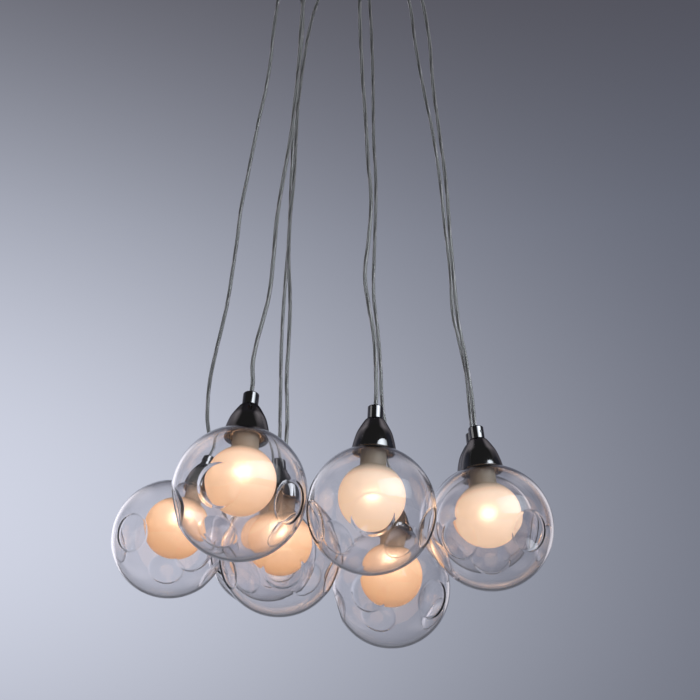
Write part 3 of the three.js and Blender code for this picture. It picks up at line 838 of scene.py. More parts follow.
# %% The eight clear balls
GLASS_THREAD = 0.45 * MM
GLASS_THREAD_LENGTH = 5 * MM
threaded_ball = run_tree(plain_ball(), THREAD_TREE, {
    "Pitch": NECK_PITCH, "Depth": GLASS_THREAD, "Low": NECK_TOP - GLASS_THREAD_LENGTH,
    "High": NECK_TOP - GLASS_EDGE, "Least Radius": NECK_RADIUS - NECK_WALL / 2, "Most Radius": BALL_RADIUS,
    "Phase": 0.0, "Material": clear_glass}, "threaded ball")
for drop in drops:
    mesh = run_tree(threaded_ball.copy(), HOLLOW_TREE, {
        "Count": HOLLOW_COUNT, "Angle": HOLLOW_ANGLE, "Depth": HOLLOW_DEPTH, "Latitude": HOLLOW_LATITUDE,
        "Turn": math.radians(HOLLOW_TURNS[drop.number - 1]), "Softness": HOLLOW_SOFTNESS,
        "Material": clear_glass}, f"clear_ball_{drop.number}")
    mesh.transform(drop.hang)
    ball = add_object(mesh.name, mesh)
    finish_piece(ball, f"glass_{drop.number}", clear_glass, "clear_glass", f"outer_globe_{drop.number}")
print("clear balls of", len(mesh.polygons), "faces each")

# %% [markdown]
# ## Frosted balls, lamps and holders
# The inner ball is etched glass with a long neck. Its flange rests on the rim of the outer neck. A ceramic
# holder stands in the neck, and a capsule lamp is plugged up into it. The model's own solids could stay,
# but their edges are sharp and their faces coarse. All are turned shapes, so each is turned again from a
# finer profile, and the heights where they meet are read from the model.

# %% Profile of the frosted ball
TURNED_STEPS = 96
INNER_RADIUS = 31.5 * MM
INNER_WALL = 2 * MM
INNER_NECK = 12.5 * MM
INNER_HOLE = 11.1 * MM
FLANGE_RADIUS = 16.4 * MM
FLANGE_THICKNESS = 1.8 * MM
_, inner_foot, FLANGE_TOP = reach("inner_globe")
FROSTED_RINGS, FROSTED_LINING_RINGS = 40, 36
INNER_RAISE = inner_foot + INNER_RADIUS  # the frosted ball's centre over the clear ball's
INNER_CENTRE = Vector((0, 0, INNER_RAISE))


def frosted_profile():
    """Up the outside of ball and neck, over the flange and down the inside."""
    foot = FLANGE_TOP - FLANGE_THICKNESS
    outside_end = math.degrees(math.acos(INNER_NECK / INNER_RADIUS))
    inside_radius = INNER_RADIUS - INNER_WALL
    inside_end = math.degrees(math.acos(INNER_HOLE / inside_radius))
    outside = arc((0, INNER_RAISE), INNER_RADIUS, -90, outside_end, FROSTED_RINGS)
    inside = arc((0, INNER_RAISE), inside_radius, -90, inside_end, FROSTED_LINING_RINGS)
    flange = [(FLANGE_RADIUS, foot), (FLANGE_RADIUS, FLANGE_TOP)]
    return ([(0, INNER_RAISE - INNER_RADIUS)] + outside[1:] + [(INNER_NECK, foot)] + flange
            + [(INNER_HOLE, FLANGE_TOP)] + inside[:0:-1] + [(0, INNER_RAISE - inside_radius)])


print("a frosted ball is", round(2 * INNER_RADIUS / MM, 1), "mm across")

# %% The light that reaches each point of the frosted ball
SHOULDER = INNER_RADIUS - 4 * MM  # height over the ball's centre where its neck begins
NECK_LOSS = 0.84  # share of the light that the holder keeps off the neck
LIGHT_FALL = 3  # the power of the distance by which the glow falls
FLANGE_GLOW = 0.6  # light that comes up the wall of the neck and leaves at the flange
EDGE_OF_NECK = 0.5 * MM  # what is further out than this beside the neck belongs to the flange


def on_outside(point):
    """Whether a point of the frosted ball is on its outside."""
    beside_bore = point.xy.length > (INNER_NECK + INNER_HOLE) / 2 or point.z < INNER_RAISE
    return beside_bore and (point - INNER_CENTRE).length > INNER_RADIUS - INNER_WALL / 2


def share_of_neck(point):
    """1 along the neck, falling to 0 over the shoulder of the ball."""
    return min(max((point.z - INNER_RAISE) / SHOULDER * 2 - 1, 0), 1)


def light_on_wall(point, filament):
    """The share of the filament's light that reaches the wall: it falls with distance and slant."""
    if not on_outside(point):
        return 0.0
    if point.xy.length > INNER_NECK + EDGE_OF_NECK and point.z > FLANGE_TOP - 2 * FLANGE_THICKNESS:
        return FLANGE_GLOW
    away = point - Vector((0, 0, filament))
    on_ball = point.z < INNER_RAISE + SHOULDER
    outwards = point - INNER_CENTRE if on_ball else Vector((*point.xy, 0))
    slant = max(away.normalized().dot(outwards.normalized()), 0)
    reached = min(slant * (INNER_RADIUS / away.length) ** LIGHT_FALL, 1.0)
    return reached * (1 - NECK_LOSS * share_of_neck(point))


print("the neck keeps a share of", round(1 - NECK_LOSS, 2), "of its light")


# %% Profiles of the holder and the lamp
HOLDER_SKIRT, HOLDER_FOOT, HOLDER_TOP = reach("lampholder")
HOLDER_SKIRT_HEIGHT = 11 * MM
HOLDER_SKIRT_TOP = HOLDER_FOOT + HOLDER_SKIRT_HEIGHT
HOLDER_HEAD = 9.2 * MM
HOLDER_BORE = 7.8 * MM
HOLDER_BORE_DEPTH = 9 * MM
HOLDER_STEPS = 48
FIRED_EDGE = 0.6 * MM
LAMP_BASE_RADIUS, _, LAMP_TOP = reach("lamp")
LAMP_RADIUS = 7 * MM
LAMP_LENGTH = 58 * MM  # more than the model's, to reach the lowest bright spots of the photograph
LAMP_FOOT = LAMP_TOP - LAMP_LENGTH
LAMP_BASE_HEIGHT = 8.5 * MM
LAMP_BASE_FOOT = LAMP_TOP - LAMP_BASE_HEIGHT
LAMP_END_RINGS = 12
LAMP_TUBE_RINGS = 24
LAMP_STEPS = 32
FILAMENT_SPREAD = 7 * MM


def holder_profile():
    """A wide skirt with a bore for the lamp, under a narrower head."""
    bore_top = HOLDER_FOOT + HOLDER_BORE_DEPTH
    return [(0, bore_top), (HOLDER_BORE, bore_top), (HOLDER_BORE, HOLDER_FOOT),
            (HOLDER_SKIRT, HOLDER_FOOT), (HOLDER_SKIRT, HOLDER_SKIRT_TOP),
            (HOLDER_HEAD, HOLDER_SKIRT_TOP), (HOLDER_HEAD, HOLDER_TOP), (0, HOLDER_TOP)]


def lamp_profile():
    """A tube with a round end below and a wider base above."""
    round_end = arc((0, LAMP_FOOT + LAMP_RADIUS), LAMP_RADIUS, -90, 0, LAMP_END_RINGS)[1:]
    glass_tube = steady(round_end[-1], (LAMP_RADIUS, LAMP_BASE_FOOT), LAMP_TUBE_RINGS)[1:]
    return ([(0, LAMP_FOOT)] + round_end + glass_tube
            + [(LAMP_BASE_RADIUS, LAMP_BASE_FOOT), (LAMP_BASE_RADIUS, LAMP_TOP), (0, LAMP_TOP)])


def light_on_lamp(point, filament):
    """The glow of the capsule, strongest at its filament."""
    return math.exp(-((point.z - filament) / FILAMENT_SPREAD) ** 2)


print("a capsule lamp is", round(LAMP_LENGTH / MM), "mm long")

# %% Hang them in every drop
FILAMENTS = [height * MM for height in (22, 18, 22, 9, 23, 11, 18, 18)]  # over the clear ball's centre
LAMP_LEVELS = (0.96, 0.85, 1, 0.72, 0.96, 0.73, 1, 1)  # how bright each lamp burns
LAMP_PALENESS = (0, 0.35, 0, 1, 0, 1, 0, 0)  # 1 where a lamp burns whiter, 0 where it burns amber


def paint(mesh, name, rule):
    """Writes a share from 0 to 1 for each point of the mesh."""
    shares = mesh.attributes.new(name, "FLOAT", "POINT")
    for vertex, share in zip(mesh.vertices, shares.data):
        share.value = rule(vertex.co)


def hang(name, profile, drop, body, material, slot, replaced, steps=TURNED_STEPS, shares=None):
    """A turned piece of one drop, riding on that body of the drop. Its shares are kept on its points."""
    mesh = lathe(f"{name}_{drop.number}", profile, steps)
    for attribute, rule in (shares or {}).items():
        paint(mesh, attribute, rule)
    mesh.transform(drop.hang)
    piece = add_object(mesh.name, mesh)
    return finish_piece(piece, f"{body}_{drop.number}", material, slot, f"{replaced}_{drop.number}")


for drop, filament, level, paleness in zip(drops, FILAMENTS, LAMP_LEVELS, LAMP_PALENESS):
    hang("frosted_ball", soften(frosted_profile(), GLASS_EDGE), drop, "glass", frosted_glass, "frosted_glass",
         "inner_globe", shares={
             "glow": lambda point: level * light_on_wall(point, filament),
             # the neck share darkens the frosted colour there, a painted shade
             "neck": share_of_neck,
             "pale": lambda point: paleness})
    hang("ceramic_holder", soften(holder_profile(), FIRED_EDGE), drop, "drop", ceramic, "ceramic",
         "lampholder", HOLDER_STEPS)
    hang("capsule", lamp_profile(), drop, "plug", lamp_glass, "lamp_glass", "lamp", LAMP_STEPS, shares={
        "glow": lambda point: level * light_on_lamp(point, filament)})
print("hung the frosted balls, holders and capsules")

# %% [markdown]
# ## Cups and cord grips
# The cup is a spun bell in black chrome. It screws onto the glass neck, so its inside has a thread, and its
# rim follows the ball. A bell could be put together from parts of balls and cylinders, but its mirror
# shows every change of curvature, so it is turned from one smooth line through a few measured points. The
# cord grip above it is a plain ferrule with a socket screw in its side, turned whichever way it was
# tightened.

# %% Profile of the bell
CUP_FOOT = math.sqrt((BALL_RADIUS + SEAT_GAP) ** 2 - CUP_RIM ** 2)
CUP_TOP_RADIUS = 8.5 * MM
CUP_WALL = 1.4 * MM
CUP_HOLE = 5 * MM
CUP_EDGE = 0.5 * MM
LAND_RADIUS = 17.7 * MM
LAND_HEIGHT = 5.7 * MM
LAND_RINGS = 24
BELL_SHARES = [(0, 0), (0.06, 0.13), (0.24, 0.4), (0.46, 0.675), (0.75, 0.88), (1, 1)]
BELL_SMOOTHING = 6  # steps between two measured points


def bell_profile():
    """The bell's outside, from top to rim, and its lining with a straight land for the thread."""
    land_foot = math.sqrt((BALL_RADIUS + SEAT_GAP) ** 2 - LAND_RADIUS ** 2)
    land_top = land_foot + LAND_HEIGHT
    bell = [(CUP_TOP_RADIUS + spread * (CUP_RIM - CUP_TOP_RADIUS), CUP_TOP - depth * (CUP_TOP - CUP_FOOT))
            for depth, spread in smooth_line(BELL_SHARES, BELL_SMOOTHING)]
    lining_top = CUP_TOP - 2 * CUP_WALL
    lining = [(radius - CUP_WALL, height) for radius, height in bell if land_top < height < lining_top]
    land = steady((LAND_RADIUS, land_top), (LAND_RADIUS, land_foot), LAND_RINGS)
    return soften([(CUP_HOLE, CUP_TOP - CUP_WALL)] + lining + land + bell[::-1]
                  + [(CUP_HOLE, CUP_TOP), (CUP_HOLE, CUP_TOP - CUP_WALL)], CUP_EDGE)


print("a cup is", round((CUP_TOP - CUP_FOOT) / MM, 1), "mm high")

# %% The cup with its thread
CUP_THREAD = 0.35 * MM
CUP_THREAD_START = CUP_FOOT + 2 * MM
LAND_MARGIN = 0.1 * MM  # so that the rule of the thread holds on the whole land
cup_mesh = run_tree(lathe("plain cup", bell_profile(), TURNED_STEPS), THREAD_TREE, {
    "Pitch": NECK_PITCH, "Depth": -CUP_THREAD, "Low": CUP_THREAD_START, "High": NECK_TOP,
    "Least Radius": LAND_RADIUS - CUP_THREAD, "Most Radius": LAND_RADIUS + LAND_MARGIN, "Phase": math.pi,
    "Material": black_chrome}, "threaded cup")
for drop in drops:
    mesh = cup_mesh.copy()
    mesh.transform(drop.hang)
    finish_piece(add_object(f"bell_cup_{drop.number}", mesh), f"drop_{drop.number}", black_chrome,
                 "black_chrome", f"cup_{drop.number}")
print("cup of", len(cup_mesh.polygons), "faces")

# %% The ferrule and its socket screw
GRIP_CHAMFER = 0.8 * MM
GRIP_STEPS = 64
CORD_PLAY = 0.15 * MM
CORD_BORE = CORD_RADIUS + CORD_PLAY
CORD_BORE_DEPTH = 3 * MM
SPIGOT_RADIUS = 4.7 * MM
SPIGOT_LENGTH = 2.5 * MM
SPIGOT_FOOT = GRIP_FOOT - SPIGOT_LENGTH
SCREW_RADIUS = 1.4 * MM
SCREW_LENGTH = 3 * MM
SCREW_CHAMFER = 0.2 * MM
SCREW_STAND = 0.15 * MM  # how far the screw's face stands out of the ferrule
SOCKET_RADIUS = 0.75 * MM
SOCKET_DEPTH = 1.2 * MM
SCREW_TURNS = (150, 160, 200, 175, 140, 30, 190, 210)  # degrees from the front, one a drop
SCREW_SIDES = 24
SIXTH = math.pi / 3  # of a turn, from one corner of a hexagon to the next


def grip_profile():
    """A ferrule with a bore for the cord above and a spigot for the cup below."""
    bore_foot = GRIP_TOP - CORD_BORE_DEPTH
    return [(0, SPIGOT_FOOT), (SPIGOT_RADIUS, SPIGOT_FOOT), (SPIGOT_RADIUS, GRIP_FOOT),
            (GRIP_RADIUS, GRIP_FOOT), (GRIP_RADIUS, GRIP_TOP - GRIP_CHAMFER),
            (GRIP_RADIUS - GRIP_CHAMFER, GRIP_TOP), (CORD_BORE, GRIP_TOP),
            (CORD_BORE, bore_foot), (0, bore_foot)]


def screw_outline(height, radius, hexagon=False):
    """A ring of the screw, round or with six flats."""
    outline = []
    for i in range(SCREW_SIDES):
        angle = 2 * math.pi * i / SCREW_SIDES
        flat = math.cos(SIXTH / 2) / math.cos(angle % SIXTH - SIXTH / 2)
        away = radius * (flat if hexagon else 1)
        outline.append((away * math.cos(angle), away * math.sin(angle), height))
    return outline


def socket_screw():
    """A set screw with a hexagon socket. Its axis is +Z and its face is at zero."""
    shape = bmesh.new()
    stack(shape, [
        screw_outline(-SCREW_LENGTH, SCREW_RADIUS), screw_outline(-SCREW_CHAMFER, SCREW_RADIUS),
        screw_outline(0, SCREW_RADIUS - SCREW_CHAMFER), screw_outline(0, SOCKET_RADIUS, hexagon=True),
        screw_outline(-SOCKET_DEPTH, SOCKET_RADIUS, hexagon=True)])
    return close_mesh("socket screw", shape)


print("a grip is", round(2 * GRIP_RADIUS / MM, 1), "by", round(GRIP_HEIGHT / MM, 1), "mm")

# %% Hang the ferrules and their screws
for drop, turn in zip(drops, SCREW_TURNS):
    hang("ferrule", soften(grip_profile(), CUP_EDGE), drop, "drop", black_chrome, "black_chrome",
         "cord_grip", GRIP_STEPS)
    screw = socket_screw()
    face = Matrix.Translation((0, -(GRIP_RADIUS + SCREW_STAND), (GRIP_FOOT + GRIP_TOP) / 2))
    screw.transform(drop.hang @ Matrix.Rotation(math.radians(turn), 4, "Z") @ face
                    @ Matrix.Rotation(math.pi / 2, 4, "X"))
    finish_piece(add_object(f"socket_screw_{drop.number}", screw), f"drop_{drop.number}", black_oxide,
                 "black_chrome")
print("hung", len(drops), "ferrules, each with its screw")

# %% [markdown]
# ## Ceiling fitting
# The photograph stops below the ceiling, so the fitting is what such a lamp has: a shallow black chrome
# dish with a collar for each cord, a steel bracket with a threaded stud, a terminal block, and one domed
# nut in the middle. The dish is spun, so it is turned here. The collars could be copied in a loop, but
# they repeat round a ring, so Geometry Nodes place them and their number stays one value.

# %% The dish
CANOPY_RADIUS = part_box("canopy")[1][0]
CANOPY_DEPTH = 25 * MM
CANOPY_WALL = 1.2 * MM
CANOPY_CORNER = 6 * MM
CANOPY_EDGE = CANOPY_WALL / 4
CANOPY_STEPS = 192
CORNER_RINGS, CORNER_LINING_RINGS = 12, 10
STUD_RADIUS = 3 * MM
STUD_HOLE = STUD_RADIUS + SEAT_GAP


def dish_profile():
    """A flat dish with a round corner, open above, and a hole for the stud in its middle."""
    corner = (CANOPY_RADIUS - CANOPY_CORNER, CANOPY_CORNER - CANOPY_DEPTH)
    return soften([(STUD_HOLE, -CANOPY_DEPTH)] + arc(corner, CANOPY_CORNER, -90, 0, CORNER_RINGS)
                  + [(CANOPY_RADIUS, 0), (CANOPY_RADIUS - CANOPY_WALL, 0)]
                  + arc(corner, CANOPY_CORNER - CANOPY_WALL, 0, -90, CORNER_LINING_RINGS)
                  + [(STUD_HOLE, CANOPY_WALL - CANOPY_DEPTH), (STUD_HOLE, -CANOPY_DEPTH)], CANOPY_EDGE)


dish = add_object("canopy_dish", lathe("canopy_dish", dish_profile(), CANOPY_STEPS))
finish_piece(dish, "root", black_chrome, "black_chrome", "canopy")
print("dish", round(2 * CANOPY_RADIUS, 3), "m across")

# %% Geometry Nodes that stand copies round a ring
COLLAR_RADIUS = 5 * MM
COLLAR_CHAMFER = 1 * MM
COLLAR_BORE_DEPTH = 6 * MM
COLLAR_STEPS = 48
COLLAR_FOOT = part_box("canopy")[0][2]


def make_ring_tree():
    """Stands a copy of the given mesh on each point of a ring."""
    tree, given, result = new_geometry_tree("copies round a ring", {
        "Count": "Int", "Radius": "Float", "First Angle": "Float"})
    ring = add_node(tree, "GeometryNodeMeshCircle", {
        "Vertices": given.outputs["Count"], "Radius": given.outputs["Radius"]})
    turn = add_node(tree, "ShaderNodeCombineXYZ", {"Z": given.outputs["First Angle"]})
    turned = add_node(tree, "GeometryNodeTransform", {
        "Geometry": ring.outputs["Mesh"], "Rotation": turn.outputs["Vector"]})
    copies = add_node(tree, "GeometryNodeInstanceOnPoints", {
        "Points": turned.outputs["Geometry"], "Instance": given.outputs["Geometry"]})
    return end_tree(tree, given, result, copies.outputs["Instances"])


def collar_profile():
    """A short sleeve under the dish, with a bore from which the cord comes out."""
    bore_top = COLLAR_FOOT + COLLAR_BORE_DEPTH
    sunk = CANOPY_WALL / 2 - CANOPY_DEPTH
    return soften([(0, bore_top), (CORD_BORE, bore_top), (CORD_BORE, COLLAR_FOOT),
                   (COLLAR_RADIUS - COLLAR_CHAMFER, COLLAR_FOOT),
                   (COLLAR_RADIUS, COLLAR_FOOT + COLLAR_CHAMFER),
                   (COLLAR_RADIUS, sunk), (0, sunk)], CUP_EDGE)


RING_TREE = make_ring_tree()
print("ring tree has", len(RING_TREE.nodes), "nodes")

# %% The eight collars
exit_place = drops[0].cord_top
collar_mesh = lathe("collar", collar_profile(), COLLAR_STEPS)
collars = add_object("cord_collars", run_tree(collar_mesh, RING_TREE, {
    "Count": DROP_COUNT, "Radius": exit_place.xy.length,
    "First Angle": math.atan2(exit_place.y, exit_place.x), "Material": black_chrome}, "cord_collars"))
finish_piece(collars, "root", black_chrome, "black_chrome")
print(DROP_COUNT, "collars on a ring of", round(exit_place.xy.length, 3), "m")

# %% Domed nut and threaded stud
NUT_RADIUS = 8 * MM
nut_box_low, nut_box_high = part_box("centre_nut")
NUT_FOOT, NUT_TOP = nut_box_low[2], nut_box_high[2]
NUT_SKIRT = 3 * MM  # straight part of the nut under the dish
NUT_CROWN = 2.5 * MM  # solid metal under the end of its bore
NUT_BORE_END = NUT_FOOT + NUT_CROWN
NUT_RINGS, NUT_STEPS = 16, 64
STUD_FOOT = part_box("ceiling_bracket")[0][2]
STUD_TOP = -1 * MM
STUD_PITCH = 1 * MM
STUD_THREAD = 0.3 * MM
STUD_RINGS, STUD_STEPS = 170, 24


def nut_profile():
    """A nut closed by a dome below, with a blind bore from above."""
    skirt = NUT_TOP - NUT_SKIRT
    dome = [(NUT_RADIUS * math.cos(a), skirt - (skirt - NUT_FOOT) * math.sin(a))
            for a in (math.pi / 2 * (1 - i / NUT_RINGS) for i in range(1, NUT_RINGS + 1))]
    return soften([(0, NUT_FOOT)] + dome + [(NUT_RADIUS, NUT_TOP), (STUD_HOLE, NUT_TOP),
                                            (STUD_HOLE, NUT_BORE_END), (0, NUT_BORE_END)], CUP_EDGE)


nut = add_object("domed_nut", lathe("domed_nut", nut_profile(), NUT_STEPS))
finish_piece(nut, "root", black_chrome, "black_chrome", "centre_nut")
core = STUD_RADIUS - STUD_THREAD
stud_side = steady((core, STUD_FOOT), (core, STUD_TOP), STUD_RINGS)
plain_stud = lathe("plain stud", [(0, STUD_FOOT)] + stud_side + [(0, STUD_TOP)], STUD_STEPS)
stud = add_object("stud", run_tree(plain_stud, THREAD_TREE, {
    "Pitch": STUD_PITCH, "Depth": STUD_THREAD, "Low": STUD_FOOT + STUD_THREAD, "High": STUD_TOP,
    "Least Radius": core / 2, "Most Radius": STUD_RADIUS, "Phase": 0.0, "Material": zinc_steel}, "stud"))
finish_piece(stud, "root", zinc_steel, "zinc_steel")
print("nut and stud, the stud", round((STUD_TOP - STUD_FOOT) / MM, 1), "mm long")

# %% Bracket: a flat curve with holes, given its thickness and a small rounding
BRACKET_LENGTH = 120 * MM
BRACKET_WIDTH = 20 * MM
BRACKET_THICKNESS = 2 * MM
BRACKET_EDGE = 0.25 * MM
SLOT_LENGTH = 14 * MM
SLOT_WIDTH = 5 * MM
SLOT_INSET = 9 * MM
ROUND_END_PARTS = 24
CABLE_HOLE = 5 * MM
CABLE_HOLE_PLACE = -18 * MM
CABLE_HOLE_SIDES = 36
WELD_DISTANCE = 0.01 * MM


def stadium(length, width, middle):
    """Outline of a strip with round ends."""
    end = (length - width) / 2
    return (arc((middle + end, 0), width / 2, -90, 90, ROUND_END_PARTS)
            + arc((middle - end, 0), width / 2, 90, 270, ROUND_END_PARTS))


def make_bracket():
    """The strip with its slots and its hole, as one closed mesh that hangs under the ceiling."""
    slot = (BRACKET_LENGTH - SLOT_LENGTH) / 2 - SLOT_INSET
    outlines = [stadium(BRACKET_LENGTH, BRACKET_WIDTH, 0), stadium(SLOT_LENGTH, SLOT_WIDTH, slot),
                stadium(SLOT_LENGTH, SLOT_WIDTH, -slot),
                circle((CABLE_HOLE_PLACE, 0), CABLE_HOLE, CABLE_HOLE_SIDES)]
    curve = bpy.data.curves.new("bracket outline", "CURVE")
    curve.dimensions = "2D"
    curve.fill_mode = "BOTH"
    curve.extrude = BRACKET_THICKNESS / 2 - BRACKET_EDGE
    curve.bevel_depth = BRACKET_EDGE
    curve.offset = -BRACKET_EDGE
    for outline in outlines:
        spline = curve.splines.new("POLY")
        spline.points.add(len(outline) - 1)
        for point, (x, y) in zip(spline.points, outline):
            point.co = (x, y, 0, 1)
        spline.use_cyclic_u = True
    flat = bpy.data.objects.new("flat", curve)
    loose = bpy.data.meshes.new_from_object(flat)
    bpy.data.objects.remove(flat)
    loose.transform(Matrix.Translation((0, 0, -BRACKET_THICKNESS / 2)))
    shape = bmesh.new()
    shape.from_mesh(loose)
    bmesh.ops.remove_doubles(shape, verts=shape.verts, dist=WELD_DISTANCE)
    bmesh.ops.recalc_face_normals(shape, faces=shape.faces)
    return close_mesh("bracket", shape)


bracket_mesh = make_bracket()
bracket = add_object("bracket", bracket_mesh)
finish_piece(bracket, "root", zinc_steel, "zinc_steel", "ceiling_bracket")
print("bracket of", len(bracket_mesh.polygons), "faces")

# %% [markdown]
# ## Terminal block
# The block joins the cords' wires to those of the house: three poles, each with a screw on either side. The
# model's own block has the right shape, so nothing is built over it: it stays and gets moulded plastic.
# Six slotted brass screws stand in its wells. They repeat on a grid, so Geometry Nodes place them too.

# %% Finish the block
block = frame["nodes"]["terminal_block"]
block.data.materials.clear()
block.data.materials.append(block_plastic)
block_low, block_high = (Vector(corner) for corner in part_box("terminal_block"))
block_size = block_high - block_low
print("block", [round(side / MM, 1) for side in block_size], "mm")

# %% Stand its screws in their wells
WELL_DEPTH = 6 * MM
TERMINALS, TERMINAL_ROWS = 3, 2
TERMINAL_SCREW = 1.7 * MM
TERMINAL_SLOT = 0.5 * MM
TERMINAL_HEAD = 1 * MM
HALF_SCREW_PARTS = 12


def make_grid_tree():
    """Stands a copy of the given mesh on each point of a flat grid."""
    tree, given, result = new_geometry_tree("copies on a grid", {
        "Across": "Int", "Deep": "Int", "Size X": "Float", "Size Y": "Float", "Middle": "Vector"})
    grid = add_node(tree, "GeometryNodeMeshGrid", {
        "Size X": given.outputs["Size X"], "Size Y": given.outputs["Size Y"],
        "Vertices X": given.outputs["Across"], "Vertices Y": given.outputs["Deep"]})
    moved = add_node(tree, "GeometryNodeTransform", {
        "Geometry": grid.outputs["Mesh"], "Translation": given.outputs["Middle"]})
    copies = add_node(tree, "GeometryNodeInstanceOnPoints", {
        "Points": moved.outputs["Geometry"], "Instance": given.outputs["Geometry"]})
    return end_tree(tree, given, result, copies.outputs["Instances"])


def slotted_screw():
    """A short screw head that looks down, cut across by a slot."""
    shape = bmesh.new()
    edge = math.degrees(math.asin(TERMINAL_SLOT / 2 / TERMINAL_SCREW))
    for side in (0, 180):
        outline = arc((0, 0), TERMINAL_SCREW, side + edge, side + 180 - edge, HALF_SCREW_PARTS)
        stack(shape, [[(x, y, height) for x, y in outline] for height in (0, TERMINAL_HEAD)])
    bmesh.ops.recalc_face_normals(shape, faces=shape.faces)
    return close_mesh("slotted screw", shape)


screw_height = block_low.z + WELL_DEPTH - TERMINAL_HEAD - TERMINAL_SLOT
terminal_mesh = run_tree(slotted_screw(), make_grid_tree(), {
    "Across": TERMINALS, "Deep": TERMINAL_ROWS, "Size X": block_size.x * (TERMINALS - 1) / TERMINALS,
    "Size Y": block_size.y * (TERMINAL_ROWS - 1) / TERMINAL_ROWS,
    "Middle": ((block_low.x + block_high.x) / 2, 0, screw_height), "Material": brass}, "terminal_screws")
terminal_mesh.shade_flat()
finish_piece(add_object("terminal_screws", terminal_mesh), "root", brass, "zinc_steel")
print("stood", TERMINALS * TERMINAL_ROWS, "screws in the block")

# %% [markdown]
# ## Studio
# A wide window at the right gives each ferrule its white streak and each cup its bright patch. The wall
# behind is a pool of cool light low on the left that fades up and to the right. A real wall could stand
# there, but it would catch the lamps' light and shade the floor. So it is painted in the world by
# direction, for what the camera sees directly, in a mirror or through glass. White screens at both sides
# of it are seen in mirrors alone. Behind the camera the room is dark, which is why black chrome looks
# black. Plain grey light fills the rest, and a pale floor below throws some of it up at the balls.

# %% World: the wall's pool of light
POOL_AZIMUTH = math.radians(-24.7)
POOL_ELEVATION = math.radians(14.5)
POOL_WIDTH = math.radians(33.3)
POOL_HEIGHT = math.radians(19)
POOL_COLOUR = (0.557, 0.577, 0.654)
WALL_LOW = (0.089, 0.098, 0.133)
WALL_HIGH = (0.065, 0.061, 0.075)
WALL_FADE = (math.radians(30), math.radians(46))  # elevations where the low colour turns to the high one
ROOM_LIGHT = (0.14, 0.145, 0.16, 1)
DARK_ROOM = (0.05, 0.05, 0.05, 1)
BEHIND = (0.1, -0.25)  # sine of the angle ahead, from where the dark room begins to where it is full
SCREENS = (0.62, 0.58, 0.6)  # white screens at both sides of the wall, for mirrored light
SCREEN_NEAR = (0.33, 0.48)  # sine of the angle aside, where they begin
SCREEN_FAR = (0.78, 0.6)  # and where they end

world = bpy.data.worlds.new("studio")
world.use_nodes = True
bpy.context.scene.world = world
sky = world.node_tree
sky.nodes.clear()
direction = add_node(sky, "ShaderNodeSeparateXYZ", {
    "Vector": add_node(sky, "ShaderNodeTexCoord").outputs["Generated"]})
azimuth = maths(sky, "ARCTAN2", direction.outputs["X"], direction.outputs["Y"])
elevation = maths(sky, "ARCSINE", direction.outputs["Z"])
aside = maths(sky, "WRAP", maths(sky, "SUBTRACT", azimuth, POOL_AZIMUTH), math.pi / 2, -math.pi / 2)
above = maths(sky, "SUBTRACT", elevation, POOL_ELEVATION)
spread = maths(sky, "ADD", maths(sky, "POWER", maths(sky, "DIVIDE", aside, POOL_WIDTH), 2),
               maths(sky, "POWER", maths(sky, "DIVIDE", above, POOL_HEIGHT), 2))
pool = maths(sky, "EXPONENT", maths(sky, "MULTIPLY", spread, -1))
wall = ramp(sky, between(sky, elevation, *WALL_FADE), [(0, WALL_LOW), (1, WALL_HIGH)])
lit_wall = vector_maths(sky, "ADD", wall, vector_maths(sky, "SCALE", POOL_COLOUR, scale=pool))
rays = add_node(sky, "ShaderNodeLightPath")
screen = rays.outputs["Is Glossy Ray"]
for first, last in (SCREEN_NEAR, SCREEN_FAR):
    edge = between(sky, maths(sky, "ABSOLUTE", direction.outputs["X"]), first, last)
    screen = maths(sky, "MULTIPLY", screen, edge)
lit_wall = vector_maths(sky, "ADD", lit_wall, vector_maths(sky, "SCALE", SCREENS, scale=screen))
print("the wall is brightest at", round(math.degrees(POOL_AZIMUTH)), "degrees")

# %% World: what each kind of ray sees
backdrop = add_node(sky, "ShaderNodeBackground", {"Color": lit_wall, "Strength": 1})
room = add_node(sky, "ShaderNodeBackground", {"Color": ROOM_LIGHT, "Strength": 1})
dark = add_node(sky, "ShaderNodeBackground", {"Color": DARK_ROOM, "Strength": 1})
seen = maths(sky, "MAXIMUM", rays.outputs["Is Camera Ray"], maths(
    sky, "MAXIMUM", rays.outputs["Is Glossy Ray"], rays.outputs["Is Transmission Ray"]))
mirrored = maths(
    sky, "MULTIPLY", rays.outputs["Is Glossy Ray"], between(sky, direction.outputs["Y"], *BEHIND))
plain = add_node(sky, "ShaderNodeMixShader", {
    0: seen, 1: room.outputs["Background"], 2: backdrop.outputs["Background"]})
mixed = add_node(sky, "ShaderNodeMixShader", {
    0: mirrored, 1: plain.outputs["Shader"], 2: dark.outputs["Background"]})
add_node(sky, "ShaderNodeOutputWorld", {"Surface": mixed.outputs["Shader"]})
print("painted the world")

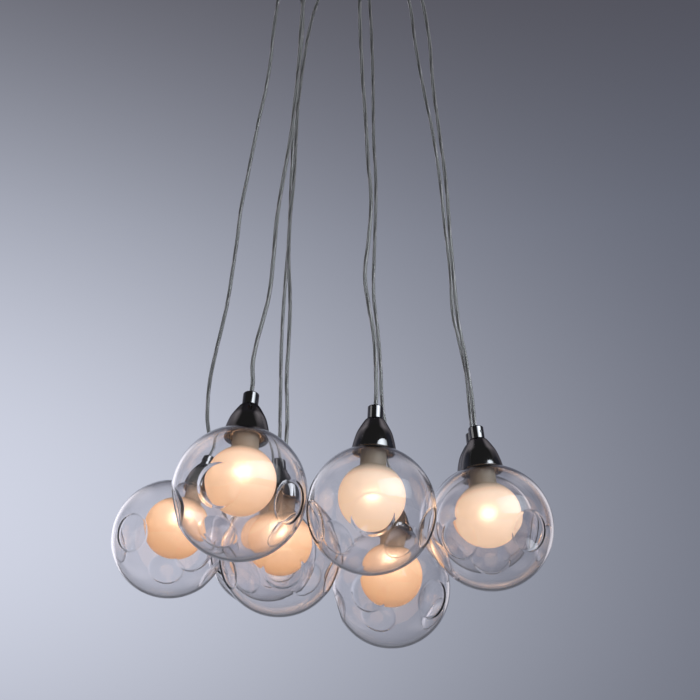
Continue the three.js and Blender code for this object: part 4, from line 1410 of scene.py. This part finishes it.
# %% Lamps of the studio
CLUSTER = Vector((0, 0, -0.8))
SOFT_BOX_SPREAD = math.radians(70)  # the grid on each box narrows its light to this angle


def soft_box(name, azimuth, elevation, distance, size, power):
    """An area lamp that faces the cluster. Azimuth runs from the camera's side towards +X."""
    data = bpy.data.lights.new(name, "AREA")
    data.shape = "RECTANGLE"
    data.size, data.size_y = size
    data.energy = power
    data.spread = SOFT_BOX_SPREAD
    a, e = math.radians(azimuth), math.radians(elevation)
    away = Vector((math.sin(a) * math.cos(e), -math.cos(a) * math.cos(e), math.sin(e)))
    lamp = add_object(name, data)
    lamp.location = CLUSTER + away * distance
    lamp.rotation_euler = away.to_track_quat("Z", "Y").to_euler()
    lamp.visible_camera = False
    lamp.visible_transmission = False
    return lamp


window = soft_box("right window", azimuth=43, elevation=24, distance=2.0, size=(2.1, 1.05), power=6.5)
window.data.color = (0.86, 0.94, 1.0)
soft_box("left fill", azimuth=-70, elevation=10, distance=2.4, size=(1.4, 1.4), power=1)
print("lit the studio")

# %% Floor
FLOOR_HEIGHT = -1.6
FLOOR_RADIUS = 60
FLOOR_SIDES = 144
floor_mesh = bpy.data.meshes.new("floor")
floor_rim = circle((0, 0), FLOOR_RADIUS, FLOOR_SIDES)
floor_mesh.from_pydata([(x, y, FLOOR_HEIGHT) for x, y in floor_rim], [], [range(len(floor_rim))])
floor = add_object("floor", floor_mesh)
floor_material = polished(
    "pale floor", (0.78, 0.78, 0.82), roughness=0.6, spread=0.1, pitting=0.0, metallic=0.0, scale=3)
floor_mesh.materials.append(floor_material)
print("laid the floor", -FLOOR_HEIGHT, "m under the ceiling")

# %% [markdown]
# ## Render settings
# Light crosses many glass walls here, so paths may be long.

# %% Render settings
BOUNCES = 48
scene = bpy.context.scene
scene.view_settings.view_transform = "Standard"
scene.cycles.max_bounces = BOUNCES
scene.cycles.transmission_bounces = BOUNCES
scene.cycles.transparent_max_bounces = BOUNCES
